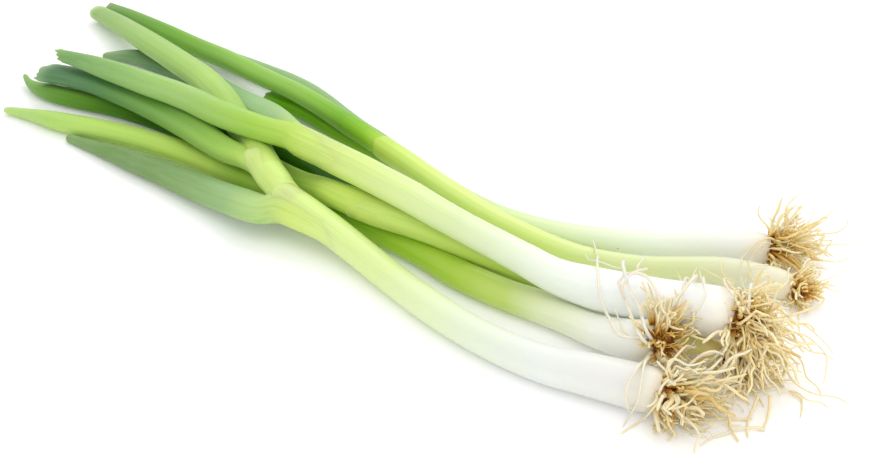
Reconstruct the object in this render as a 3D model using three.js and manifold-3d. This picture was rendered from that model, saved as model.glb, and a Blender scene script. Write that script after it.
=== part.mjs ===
// A bunch of six spring onions lying on a flat surface.
// Units are millimetres, +Z is up and z = 0 is the surface. X runs along the
// bunch, with the roots at +X and the leaf tips at -X; the origin is the bottom
// centre of the bunch's box.
//
// Each onion is a shaft (the white and pale green sheath with its bulb at the
// root end), one to three leaves, and a tuft of roots. The shafts and leaves
// are stalks: a round or oval section carried along a curve. Where a leaf comes
// out of its sheath, and where one stalk lies on another, the later one is cut
// back to leave a small gap, so that no two pieces share any space.

import * as THREE from 'three';
import { mergeVertices } from 'three/addons/utils/BufferGeometryUtils.js';
import Module from 'manifold-3d';

// ---- driving dimensions, mm ----
const GAP = 0.3;              // clearance between pieces that touch
const SHAFT_SIDES = 10;       // faces round a shaft
const LEAF_SIDES = 8;         // faces round a leaf
const ROOT_SIDES = 5;         // faces round a root strand
const REST_FLAT = 0.6;        // undersides this close to the surface lie on it
const ROOT_R = 1.15;          // strand radius where it leaves the plate
const ROOT_TIP_R = 0.75;      // strand radius at its tip
const PLATE_LEN = 4.2;        // length of the root plate beyond the shaft
const PLATE_R = 0.78;         // plate radius, as a share of the bulb's radius
const TIDY = 0.08;            // faces closer than this to flat are merged

// Stations along each stalk, from the root end to the tip:
// [x, y, z, half width, half thickness].
const STALKS = {
  onion_1_stem: [
    [183.6, -54.7, 7, 7, 7], [179.8, -55.7, 7.4, 7.3, 7.3], [175, -57.1, 7.6, 7.5, 7.5], [157.6, -61.4, 7.2, 6.8, 6.8],
    [144.4, -64.1, 6.3, 6.3, 6.3], [131, -65, 6, 6, 6], [117.5, -64.4, 5.8, 5.8, 5.8], [104.1, -62.6, 5.7, 5.7, 5.7],
    [90.9, -60, 5.7, 5.7, 5.7], [77.8, -56.8, 5.7, 5.6, 5.6], [64.7, -53.7, 6.4, 5.7, 5.6], [51.6, -51, 7.8, 5.8, 5.7],
    [38.4, -49.3, 10.1, 6.1, 5.8], [25.2, -48.7, 12.7, 6.3, 6], [12, -47.9, 15, 6.4, 5.6],
  ],
  onion_1_leaf_1: [
    [21, -50, 11.7, 5, 3], [7, -53.7, 11.2, 7.4, 4.4], [-7.7, -51.5, 8.1, 7.8, 4.5], [-22.6, -49.9, 5.9, 7.6, 4.5],
    [-37.7, -49.8, 4.8, 7.1, 4.5], [-52.9, -50.6, 4.3, 6.4, 4.3], [-68, -51.1, 4.1, 5.4, 4.1], [-83.2, -51.3, 3.7, 4, 3.6],
    [-98.3, -51.5, 2.7, 2.6, 2.6], [-113.5, -51.6, 1.7, 1.7, 1.7],
  ],
  onion_1_leaf_2: [
    [15, -46.7, 15.9, 4.6, 3.6], [0.7, -43.5, 16.2, 5.5, 4.5], [-13.4, -40.2, 16.8, 6, 5.1], [-27.7, -37.7, 17.1, 6.1, 5.1],
    [-41.6, -33.5, 16.3, 6.1, 5.1], [-55.9, -30.9, 15.6, 6.1, 4.9], [-70.2, -28.2, 14.9, 6, 4.8], [-84.5, -25.6, 14.2, 5.9, 4.7],
    [-99, -23.9, 13.6, 5.8, 4.6], [-113.5, -23.4, 13.3, 5.7, 4.5], [-128.1, -23.4, 13.2, 5.5, 4.5], [-142.6, -23.6, 12.3, 5.4, 4.5],
    [-157, -25.7, 11.3, 5, 4.3],
  ],
  onion_1_leaf_3: [
    [11.6, -44.3, 15.4, 4.6, 3.8], [-2.1, -37.8, 16.1, 5.3, 4.8], [-15.1, -30.4, 15.5, 5.6, 5.4], [-28.8, -24.1, 15.1, 5.9, 5.3],
    [-42.1, -17, 15.2, 6.1, 5.2], [-55.3, -9.6, 15, 6.3, 4.9], [-68.6, -2.3, 15, 6.5, 4.8], [-82.3, 4.1, 14.5, 6.7, 4.6],
    [-96.4, 9.6, 14.2, 6.8, 4.6], [-111, 13.4, 14, 6.8, 4.6], [-125.5, 17.5, 13.5, 6.7, 4.6], [-140, 21.7, 12.7, 6.6, 4.6],
    [-154.4, 26.3, 11.5, 6.3, 4.5], [-168.5, 31.5, 9.7, 6, 4.4], [-182.5, 36.8, 7.6, 5.7, 4.4], [-196.8, 41.4, 5.9, 5.2, 4.2],
    [-211.2, 45.8, 4.2, 4.8, 4.1],
  ],
  onion_2_stem: [
    [171.6, -39.7, 15.3, 7, 7], [168.1, -39.8, 13.3, 7.1, 7.1], [163.7, -40, 11, 7.1, 7.1], [147.6, -38.3, 6.9, 5.8, 5.8],
    [134.8, -37, 5.9, 5.5, 5.5], [121.9, -36.9, 5.4, 5.2, 5.2], [109.1, -37.6, 5, 4.9, 4.9], [96.2, -37.7, 4.9, 4.9, 4.9],
    [83.4, -36.7, 4.9, 4.9, 4.9], [70.7, -34.4, 4.9, 4.9, 4.9], [57.9, -32.8, 4.9, 4.9, 4.9], [45.1, -32.3, 5, 4.9, 4.9],
    [32.3, -33.2, 5.2, 4.9, 4.9], [20.6, -38.6, 5, 5.1, 4.8], [8, -38.9, 7, 5.2, 4.5],
  ],
  onion_2_leaf_1: [
    [13.5, -37.9, 5.6, 4.4, 3.4], [-0.7, -36.9, 6.7, 5.1, 4.4], [-14.8, -34.3, 5.3, 5.5, 4.8], [-29.1, -33.4, 4.9, 5.6, 4.8],
    [-43.5, -33.1, 4.8, 5.7, 4.8], [-57.9, -33.8, 4.9, 5.7, 4.8], [-72.2, -35.7, 5, 5.7, 4.8], [-86.4, -37.8, 4.9, 5.7, 4.6],
    [-100.5, -40.8, 4.7, 5.6, 4.5], [-114.5, -44.2, 4.3, 5.3, 4.3], [-128.6, -47.2, 3.9, 4.5, 3.9], [-142.8, -49.2, 3.2, 3.1, 3.1],
    [-156.9, -51.9, 2, 2, 2],
  ],
  onion_3_stem: [
    [187.3, -24.6, 5.4, 5.2, 5.2], [183.3, -24.6, 5.5, 5.4, 5.4], [178.3, -24.2, 5.5, 5.5, 5.5], [161.9, -20.3, 5.9, 5, 5],
    [149, -19.3, 6, 5, 5], [136, -19.7, 6.4, 5, 5], [123.2, -20.6, 7.6, 5, 5], [110.5, -22.5, 9.3, 4.9, 4.9],
    [97.9, -25.3, 11.2, 4.9, 4.9], [85.4, -28.3, 12.9, 4.9, 4.9], [72.9, -31.3, 14.4, 4.9, 4.9], [60.2, -33.4, 15.1, 5, 5],
    [47.3, -35.1, 15.2, 5.2, 5], [34.4, -35.9, 14.8, 5.3, 4.8],
  ],
  onion_3_leaf_1: [
    [39.1, -32.3, 13.9, 4, 3], [24.4, -27.5, 12.3, 4.9, 3.7], [10.9, -20.4, 8.3, 5.3, 4], [-3, -14.2, 4.5, 5.5, 4],
    [-18.3, -11.1, 4, 5.6, 4], [-33.9, -8.9, 4, 5.6, 4], [-49.6, -8.1, 4, 5.6, 4], [-65.2, -7.2, 3.8, 5.1, 3.8],
    [-80.8, -5.8, 3.2, 4, 3.2],
  ],
  onion_3_leaf_2: [
    [41.8, -36.3, 15.7, 4.4, 3.6], [27, -34.8, 15.3, 5.1, 5], [13.8, -29.8, 10.9, 5.2, 5.1], [-0.1, -26.1, 7.2, 5.2, 5],
    [-14.6, -23.1, 5.6, 5.2, 4.8], [-29.2, -20.8, 5.3, 5.2, 4.7], [-44, -19.5, 5.2, 5.2, 4.4], [-58.9, -19, 4.9, 5.2, 4.3],
    [-73.7, -18.7, 4.6, 5.2, 4.3], [-88.6, -19, 4.4, 5.2, 4.3], [-103.4, -19.9, 4.3, 5.2, 4.3], [-118.1, -22.2, 4.3, 5.2, 4.3],
    [-132.5, -25.9, 4.1, 5, 4.1], [-147, -28.9, 3.8, 4.4, 3.7], [-161.7, -29.5, 2.7, 2.8, 2.7], [-176.2, -26.1, 1.8, 1.8, 1.8],
  ],
  onion_4_stem: [
    [189.9, -20.6, 19.7, 7.3, 7.3], [186, -21.3, 19.9, 8.2, 8.2], [181.1, -22.2, 20.2, 8.6, 8.6], [164.5, -26.3, 19.2, 7.7, 7.7],
    [151.9, -29.4, 18.4, 7.5, 7.5], [139.2, -32.1, 18, 7.1, 7.1], [126.3, -34.2, 18.4, 6.1, 6.1], [113.4, -34.4, 20.1, 5.6, 5.6],
    [100.5, -34.7, 21.9, 5.4, 5.4], [87.5, -34.6, 23.3, 5.4, 5.4], [74.6, -34.2, 24.8, 5.5, 5.5], [61.7, -33.1, 26, 5.8, 5.7],
    [48.7, -31.5, 26.2, 6, 5.8], [35.8, -30.2, 26.6, 6.2, 5.8], [22.8, -28.6, 26.4, 6.3, 5.8], [10.1, -26, 25.6, 6.2, 5.8],
    [-2.6, -23.2, 24.8, 6.1, 5.6], [-15.1, -19.7, 23.4, 6, 5.2],
  ],
  onion_4_leaf_1: [
    [-3.7, -25, 25.9, 4.6, 3.6], [-18.1, -26.3, 25.6, 5.7, 4.9], [-32.4, -27.7, 25.8, 5.9, 5.2], [-46.9, -27.2, 25.5, 5.9, 5.1],
    [-61.4, -25.2, 25.1, 5.9, 5], [-75.9, -24.2, 24.6, 6, 4.9], [-90.5, -23.8, 23.8, 5.9, 4.9], [-105.1, -23.8, 23.5, 5.6, 4.8],
    [-119.7, -23.7, 22.9, 5.2, 4.6], [-134.2, -23.5, 22.1, 4.5, 4.1], [-148.8, -23.9, 20.9, 3.5, 3.5],
  ],
  onion_4_leaf_2: [
    [-12.1, -16, 22.4, 4.4, 3.2], [-26.1, -10, 20.8, 5.3, 3.8], [-39.3, -3, 17, 6, 4.3], [-52.6, 3.6, 13, 6.4, 4.4],
    [-66.4, 9.3, 9.3, 6.6, 4.3], [-80.5, 14.5, 6.3, 6.6, 4.2], [-95.1, 19.1, 4.5, 6.6, 4.2], [-110.2, 21.9, 4.1, 6.6, 4.1],
    [-125.6, 23.1, 4, 6.4, 4], [-140.9, 22.9, 3.8, 5.9, 3.8], [-156.2, 20.7, 3.5, 4.3, 3.3], [-170.3, 14.8, 1.8, 2, 1.8],
  ],
  onion_5_stem: [
    [185.1, 29.4, 5, 5, 5], [181.3, 28.3, 5.6, 5.2, 5.2], [176.6, 26.9, 6.3, 5.3, 5.3], [161.1, 21, 7, 5.1, 5.1],
    [149.6, 15.4, 6, 4.8, 4.8], [138.1, 9.7, 4.7, 4.6, 4.6], [126.4, 4.7, 4.4, 4.4, 4.4], [114.2, 0.7, 4.6, 4.3, 4.3],
    [101.7, -1.9, 5.9, 4.3, 4.3], [89.1, -3.1, 7.6, 4.3, 4.3], [76.4, -3.5, 9.2, 4.3, 4.3], [63.7, -2.3, 10.5, 4.5, 4.5],
    [51.1, -0.1, 11.5, 4.6, 4.6], [38.5, 2.4, 12.4, 4.7, 4.7], [26, 5, 13.4, 4.8, 4.8], [13.5, 7.6, 14.2, 4.9, 4.6],
  ],
  onion_5_leaf_1: [
    [21.3, 5.8, 13.9, 3.8, 3.2], [6.4, 8.7, 14.9, 4.4, 4.2], [-8.5, 11.7, 15.9, 4.5, 4.3], [-23.2, 15.7, 15.9, 4.5, 4.1],
    [-37.7, 20.2, 15.2, 4.5, 3.9], [-52.2, 24.6, 14, 4.5, 3.9], [-66.9, 28.4, 12.4, 4.6, 3.9], [-81.6, 32, 10.8, 4.7, 4],
    [-96.2, 36, 9.4, 4.8, 4.1], [-111, 39.5, 8.1, 4.9, 4.3], [-125.9, 42.3, 6.7, 5, 4.4], [-140.8, 44.9, 5.6, 5, 4.4],
    [-155.8, 47.5, 4.9, 4.9, 4.2], [-170.8, 50, 4.4, 4.6, 4.1], [-185.9, 52.3, 4, 4.2, 4], [-200.9, 54.6, 3.6, 3.6, 3.6],
    [-216, 56.7, 2.9, 2.8, 2.8],
  ],
  onion_6_stem: [
    [166, 48, 5.8, 5.8, 5.8], [162.7, 45.7, 6, 6, 6], [158.6, 42.9, 6.2, 6.1, 6.1], [145, 34.2, 6.2, 5.6, 5.6],
    [134.6, 27.2, 5.6, 5.2, 5.2], [124, 20.4, 5.1, 5, 5], [112.9, 14.6, 4.9, 4.9, 4.9], [101.3, 9.7, 4.8, 4.8, 4.8],
    [89.2, 6.4, 4.8, 4.8, 4.8], [76.7, 4.9, 4.8, 4.8, 4.8], [64.1, 5.4, 4.8, 4.8, 4.8], [51.7, 7.4, 4.8, 4.9, 4.8],
    [39.5, 10.4, 4.8, 5, 4.8], [27.3, 13.4, 4.7, 5, 4.6],
  ],
  onion_6_leaf_1: [
    [33.9, 14.3, 4.2, 4.2, 3], [18.6, 16.9, 4.8, 5.1, 3.6], [3.4, 14.7, 7.2, 5.7, 3.9], [-12, 16.1, 7.9, 6, 3.9],
    [-27.1, 19.7, 7.7, 6.1, 3.9], [-42, 23.9, 6.8, 6.1, 3.9], [-57.1, 27.4, 5.4, 6, 3.8], [-72.4, 29.9, 3.6, 5.8, 3.6],
  ],
  onion_6_leaf_2: [
    [35.5, 11.1, 5.2, 4, 3], [21, 15.4, 4.8, 4.6, 3.5], [7.2, 21.5, 3.9, 5, 3.8], [-7.2, 25.8, 3.9, 5.2, 3.9],
    [-21.8, 29.5, 3.9, 5.4, 3.9], [-36.2, 34.2, 3.9, 5.6, 3.9], [-50.5, 39.1, 4, 5.8, 3.9], [-65, 43.3, 4, 5.8, 3.9],
    [-79.9, 45.9, 3.9, 5.7, 3.7], [-95, 47.3, 3.6, 5.4, 3.6], [-110.1, 48.6, 3.4, 4.8, 3.3], [-125, 50.5, 2.9, 3.7, 2.9],
  ],};

// Main root strands of each onion, as points from the plate to the tip.
const STRANDS = {
  onion_1: [
    [[186.2, -55.6, 8], [192.6, -50.9, 9], [198.9, -46.9, 7], [201.9, -42.8, 3], [203.6, -42.3, 1.2]],
    [[187, -57.1, 10], [191.8, -50.1, 12], [196.9, -40, 9], [202.6, -32, 4], [207.3, -27.7, 1.4]],
    [[186, -54.9, 6], [193.3, -55.1, 5], [198.6, -52.9, 2.4], [203.5, -51.4, 1.2]],
    [[183.8, -53.3, 4], [187.8, -56.2, 3], [191.8, -58.4, 1.6], [194.6, -60.8, 1]],
    [[183.7, -54.5, 5], [184.7, -58.2, 3.4], [187.8, -60.7, 1.8], [192, -62.9, 1]],
    [[184.3, -51.6, 4], [193.2, -54.4, 2.2], [200.3, -55.6, 1], [199.6, -61.6, 0.9]],
  ],
  onion_2: [
    [[171.9, -39.2, 17], [169.9, -31.4, 19], [167.4, -19.7, 19], [165.6, -11.2, 18]],
    [[171.1, -39.2, 17], [166.3, -35.8, 19], [159.4, -27.7, 19], [150.7, -18.5, 18]],
    [[172.3, -38.5, 16], [176.7, -31.4, 18], [176.7, -21.2, 17], [176.5, -14.1, 16]],
    [[171.2, -37.4, 13], [177.6, -48.4, 16], [184.8, -53.1, 15], [189.6, -55.9, 12]],
    [[170.5, -38.7, 13], [172.9, -51.8, 15], [174.9, -62.5, 15], [178.3, -71.1, 14]],
    [[171.3, -38.3, 17], [167.7, -34.1, 21], [165, -23, 22], [159.1, -9.8, 21]],
  ],
  onion_3: [
    [[188.5, -25.5, 6], [191.4, -21.4, 5], [196.4, -20.8, 3], [202, -23, 1.3]],
    [[188.2, -25.4, 5], [192, -28.9, 4], [199, -30.8, 2], [204.5, -31.7, 1.2]],
    [[188, -24.9, 7], [189, -17.9, 6], [194, -16, 4], [200.6, -14.9, 1.6]],
    [[188.1, -25.1, 4], [192.6, -32.3, 3], [198.4, -36, 1.6], [205, -38.9, 1]],
  ],
  onion_4: [
    [[191.1, -18.7, 19], [197.5, -15.5, 17], [202.1, -12.8, 9], [207.5, -14.5, 1.4]],
    [[191.6, -19.3, 18], [197.7, -20.6, 14], [202.1, -21.5, 6], [207.4, -28, 1.2]],
    [[191.3, -19.4, 21], [195.2, -5.9, 18], [199.4, 7, 8], [205, 9.2, 1.2]],
    [[191.5, -18.9, 17], [197.2, -24.1, 13], [202.1, -28, 5], [207.4, -35.8, 1.1]],
    [[191.2, -19, 20], [197.8, -9.3, 17], [204.1, -2.3, 7], [211.9, -2.1, 1.2]],
    [[191.2, -21.1, 23], [187.3, -17, 25], [181.7, -10.8, 25], [172.3, -3.6, 24]],
    [[191.5, -20.9, 23], [189.7, -13.5, 25], [184, -4.2, 25], [175.9, 6.4, 23]],
    [[191.6, -19.3, 18], [199.7, -20.4, 9], [208.6, -23.7, 2.4], [216.2, -22.1, 1.2]],
  ],
  onion_5: [
    [[186.2, 29.4, 5], [190.1, 29.6, 4], [193.2, 27, 2], [197.1, 23.9, 1.1]],
    [[186.2, 29.8, 4], [189.7, 25.5, 3], [191, 20.8, 1.8], [193.9, 16.8, 1]],
    [[186.3, 29.1, 6], [189.2, 34.3, 5], [191.8, 38.8, 3], [195.4, 43.1, 1.1]],
    [[186, 28.6, 7], [186.1, 35.3, 7], [188, 42.8, 5], [190, 52.3, 2]],
  ],
  onion_6: [
    [[166.9, 49, 7], [170.4, 56.7, 9], [173.3, 63.4, 10], [175.6, 70.4, 9]],
    [[167.6, 48, 6], [175.7, 50.8, 9], [180, 58, 9], [185.2, 67.5, 7]],
    [[167.9, 47.7, 5], [176, 49.7, 5], [181.6, 54.9, 3], [187.2, 55.2, 1.2]],
    [[167.9, 48, 4], [176.9, 43.6, 4], [181.8, 43.7, 2.5], [187.4, 40.6, 1.2]],
    [[167, 47.8, 8], [168.1, 54.5, 10], [168.6, 62.1, 11], [169.9, 65.1, 11]],
    [[167.2, 48.6, 6], [173.5, 53.3, 10], [176.3, 62.1, 10], [180.3, 70.8, 8]],
  ],};

const COLOURS = {
  sheath_white: [0xe9ecd6, 0.42],
  leaf_green: [0x6f9a3f, 0.45],
  leaf_glaucous: [0x5f8f72, 0.5],
  leaf_pale: [0xa9c95a, 0.42],
  bulb_tan: [0xd9cf86, 0.5],
  root_tan: [0xdccb98, 0.8],
};
const SLOT_OF = {
  onion_1_leaf_1: 'leaf_glaucous', onion_1_leaf_2: 'leaf_glaucous', onion_1_leaf_3: 'leaf_green',
  onion_2_leaf_1: 'leaf_pale', onion_3_stem: 'bulb_tan',
  onion_3_leaf_1: 'leaf_green', onion_3_leaf_2: 'leaf_green',
  onion_4_leaf_1: 'leaf_green', onion_4_leaf_2: 'leaf_glaucous',
  onion_5_leaf_1: 'leaf_green', onion_6_leaf_1: 'leaf_green', onion_6_leaf_2: 'leaf_glaucous',
};
function slotOf(name) {
  if (SLOT_OF[name]) return SLOT_OF[name];
  return name.endsWith('_roots') ? 'root_tan' : 'sheath_white';
}

const wasm = await Module();
wasm.setup();

const UP = new THREE.Vector3(0, 0, 1);

// A closed stalk: a lathe-turned rod whose axis is then bent along the curve
// through the stations and whose section is stretched to each station's oval.
// `grow` makes the same stalk that much bigger all over.
function stalk(rows, sides, grow = 0, ends = [0.76, 0.72]) {
  const last = rows.length - 1;
  const curve = new THREE.CatmullRomCurve3(
    rows.map((r) => new THREE.Vector3(r[0], r[1], r[2])), false, 'centripetal');
  const profile = [new THREE.Vector2(0, 0), new THREE.Vector2(ends[0], 0), new THREE.Vector2(1, 0.4)];
  for (let i = 1; i < last; i++) profile.push(new THREE.Vector2(1, i));
  profile.push(new THREE.Vector2(1, last - 0.12), new THREE.Vector2(ends[1], last), new THREE.Vector2(0, last));
  const geometry = new THREE.LatheGeometry(profile, sides, Math.PI / sides, 2 * Math.PI);
  const position = geometry.attributes.position;
  const p = new THREE.Vector3();
  const t = new THREE.Vector3();
  const side = new THREE.Vector3();
  const over = new THREE.Vector3();
  for (let i = 0; i < position.count; i++) {
    const along = position.getY(i);
    const k = Math.min(Math.floor(along), last - 1);
    const f = along - k;
    const half = [3, 4].map((c) => rows[k][c] * (1 - f) + rows[k + 1][c] * f + grow);
    curve.getPoint(along / last, p);
    curve.getTangent(along / last, t);
    side.crossVectors(t, UP).normalize();
    over.crossVectors(side, t).normalize();
    p.addScaledVector(side, position.getX(i) * half[0]);
    p.addScaledVector(over, -position.getZ(i) * half[1]);
    if (grow > 0 && along === 0) p.addScaledVector(t, -grow);
    if (grow > 0 && along === last) p.addScaledVector(t, grow);
    if (grow === 0 && p.z < REST_FLAT) p.z = 0;
    position.setXYZ(i, p.x, p.y, p.z);
  }
  return solid(geometry);
}

// One root strand: a thin stalk that tapers evenly to its tip.
function strand(points, grow) {
  const n = points.length - 1;
  const rows = points.map((q, i) => {
    const r = ROOT_R + (ROOT_TIP_R - ROOT_R) * (i / n);
    return [q[0], q[1], Math.max(q[2], r), r, r];
  });
  return stalk(rows, ROOT_SIDES, grow, [0.9, 0.5]);
}

// The root plate: a short domed plug just beyond the end of the shaft, facing
// the way the shaft points.
function plate(rows, grow) {
  const a = new THREE.Vector3(...rows[0].slice(0, 3));
  const b = new THREE.Vector3(...rows[1].slice(0, 3));
  const out = a.clone().sub(b).normalize();
  const r = rows[0][3] * PLATE_R;
  const sizes = [r, r * 0.96, r * 0.62];
  const start = a.clone().addScaledVector(out, GAP + 0.05);
  const body = sizes.map((s, i) => {
    const q = start.clone().addScaledVector(out, (PLATE_LEN * i) / (sizes.length - 1));
    return [q.x, q.y, Math.max(q.z, s), s, s];
  });
  return stalk(body, SHAFT_SIDES, grow, [1, 0.8]);
}

// Turns a three.js geometry into a closed solid with its faces pointing out.
function solid(geometry) {
  geometry.deleteAttribute('uv');
  geometry.deleteAttribute('normal');
  const merged = mergeVertices(geometry, 1e-4);
  const index = merged.index.array;
  const xyz = Float32Array.from(merged.attributes.position.array);
  const faces = [];
  for (let i = 0; i < index.length; i += 3) {
    const [a, b, c] = [index[i], index[i + 1], index[i + 2]];
    if (a !== b && b !== c && c !== a) faces.push([a, b, c]);
  }
  const at = (v) => new THREE.Vector3().fromArray(xyz, v * 3);
  let volume = 0;
  for (const [a, b, c] of faces) volume += at(a).dot(at(b).cross(at(c)));
  const triVerts = new Uint32Array(faces.length * 3);
  faces.forEach((f, i) => triVerts.set(volume > 0 ? f : [f[0], f[2], f[1]], i * 3));
  return new wasm.Manifold(new wasm.Mesh({ numProp: 3, vertProperties: xyz, triVerts }));
}

function largest(body) {
  return body.decompose().reduce((best, one) => (one.volume() > best.volume() ? one : best));
}

function toGeometry(body) {
  const mesh = body.getMesh();
  const geometry = new THREE.BufferGeometry();
  geometry.setAttribute('position', new THREE.BufferAttribute(Float32Array.from(mesh.vertProperties), 3));
  geometry.setIndex(new THREE.BufferAttribute(Uint32Array.from(mesh.triVerts), 1));
  geometry.computeVertexNormals();
  return geometry;
}

// ---- the pieces, from the ones that keep their whole shape to the ones that
// are cut back around them ----
const pieces = [];
for (const name of Object.keys(STALKS).filter((n) => n.endsWith('_stem'))) {
  pieces.push([name, (grow) => stalk(STALKS[name], SHAFT_SIDES, grow)]);
}
for (const name of Object.keys(STALKS).filter((n) => !n.endsWith('_stem'))) {
  pieces.push([name, (grow) => stalk(STALKS[name], LEAF_SIDES, grow)]);
}
for (const onion of Object.keys(STRANDS)) {
  pieces.push([onion + '_roots', (grow) => {
    let tuft = plate(STALKS[onion + '_stem'], grow);
    for (const points of STRANDS[onion]) tuft = tuft.add(strand(points, grow));
    return tuft;
  }]);
}

function apart(a, b) {
  return a.min.some((v, i) => v > b.max[i] + GAP) || b.min.some((v, i) => v > a.max[i] + GAP);
}

const group = new THREE.Group();
group.name = 'spring_onion_bunch';
const done = [];
for (const [name, make] of pieces) {
  const whole = make(0);
  const box = whole.boundingBox();
  let body = whole;
  for (const other of done) {
    if (!apart(box, other.box)) body = body.subtract(other.make(GAP));
  }
  body = largest(largest(body).simplify(TIDY));
  done.push({ name, make, box });
  const slot = slotOf(name);
  const [colour, roughness] = COLOURS[slot];
  const material = new THREE.MeshStandardMaterial({ color: colour, roughness, metalness: 0 });
  material.name = slot;
  const mesh = new THREE.Mesh(toGeometry(body), material);
  mesh.name = name;
  group.add(mesh);
}

export default group;
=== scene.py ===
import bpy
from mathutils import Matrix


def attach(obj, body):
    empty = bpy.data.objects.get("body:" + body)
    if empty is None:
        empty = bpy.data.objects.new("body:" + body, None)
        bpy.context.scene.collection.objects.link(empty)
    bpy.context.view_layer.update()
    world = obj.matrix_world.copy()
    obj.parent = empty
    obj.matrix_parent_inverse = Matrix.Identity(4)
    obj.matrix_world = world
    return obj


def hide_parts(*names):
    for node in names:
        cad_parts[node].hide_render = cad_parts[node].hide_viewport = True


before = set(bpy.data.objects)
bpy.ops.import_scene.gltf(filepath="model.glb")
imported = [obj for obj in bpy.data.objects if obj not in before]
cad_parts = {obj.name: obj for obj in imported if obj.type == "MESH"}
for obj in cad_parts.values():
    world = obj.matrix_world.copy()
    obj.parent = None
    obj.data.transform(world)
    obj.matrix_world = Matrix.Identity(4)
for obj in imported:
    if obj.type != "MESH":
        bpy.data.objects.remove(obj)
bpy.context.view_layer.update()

import math

import bpy
import numpy as np
from mathutils import Vector, noise

MM = 0.001
noise.seed_set(7)
LEAF_COUNT = {1: 3, 2: 1, 3: 2, 4: 2, 5: 1, 6: 2}

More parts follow.
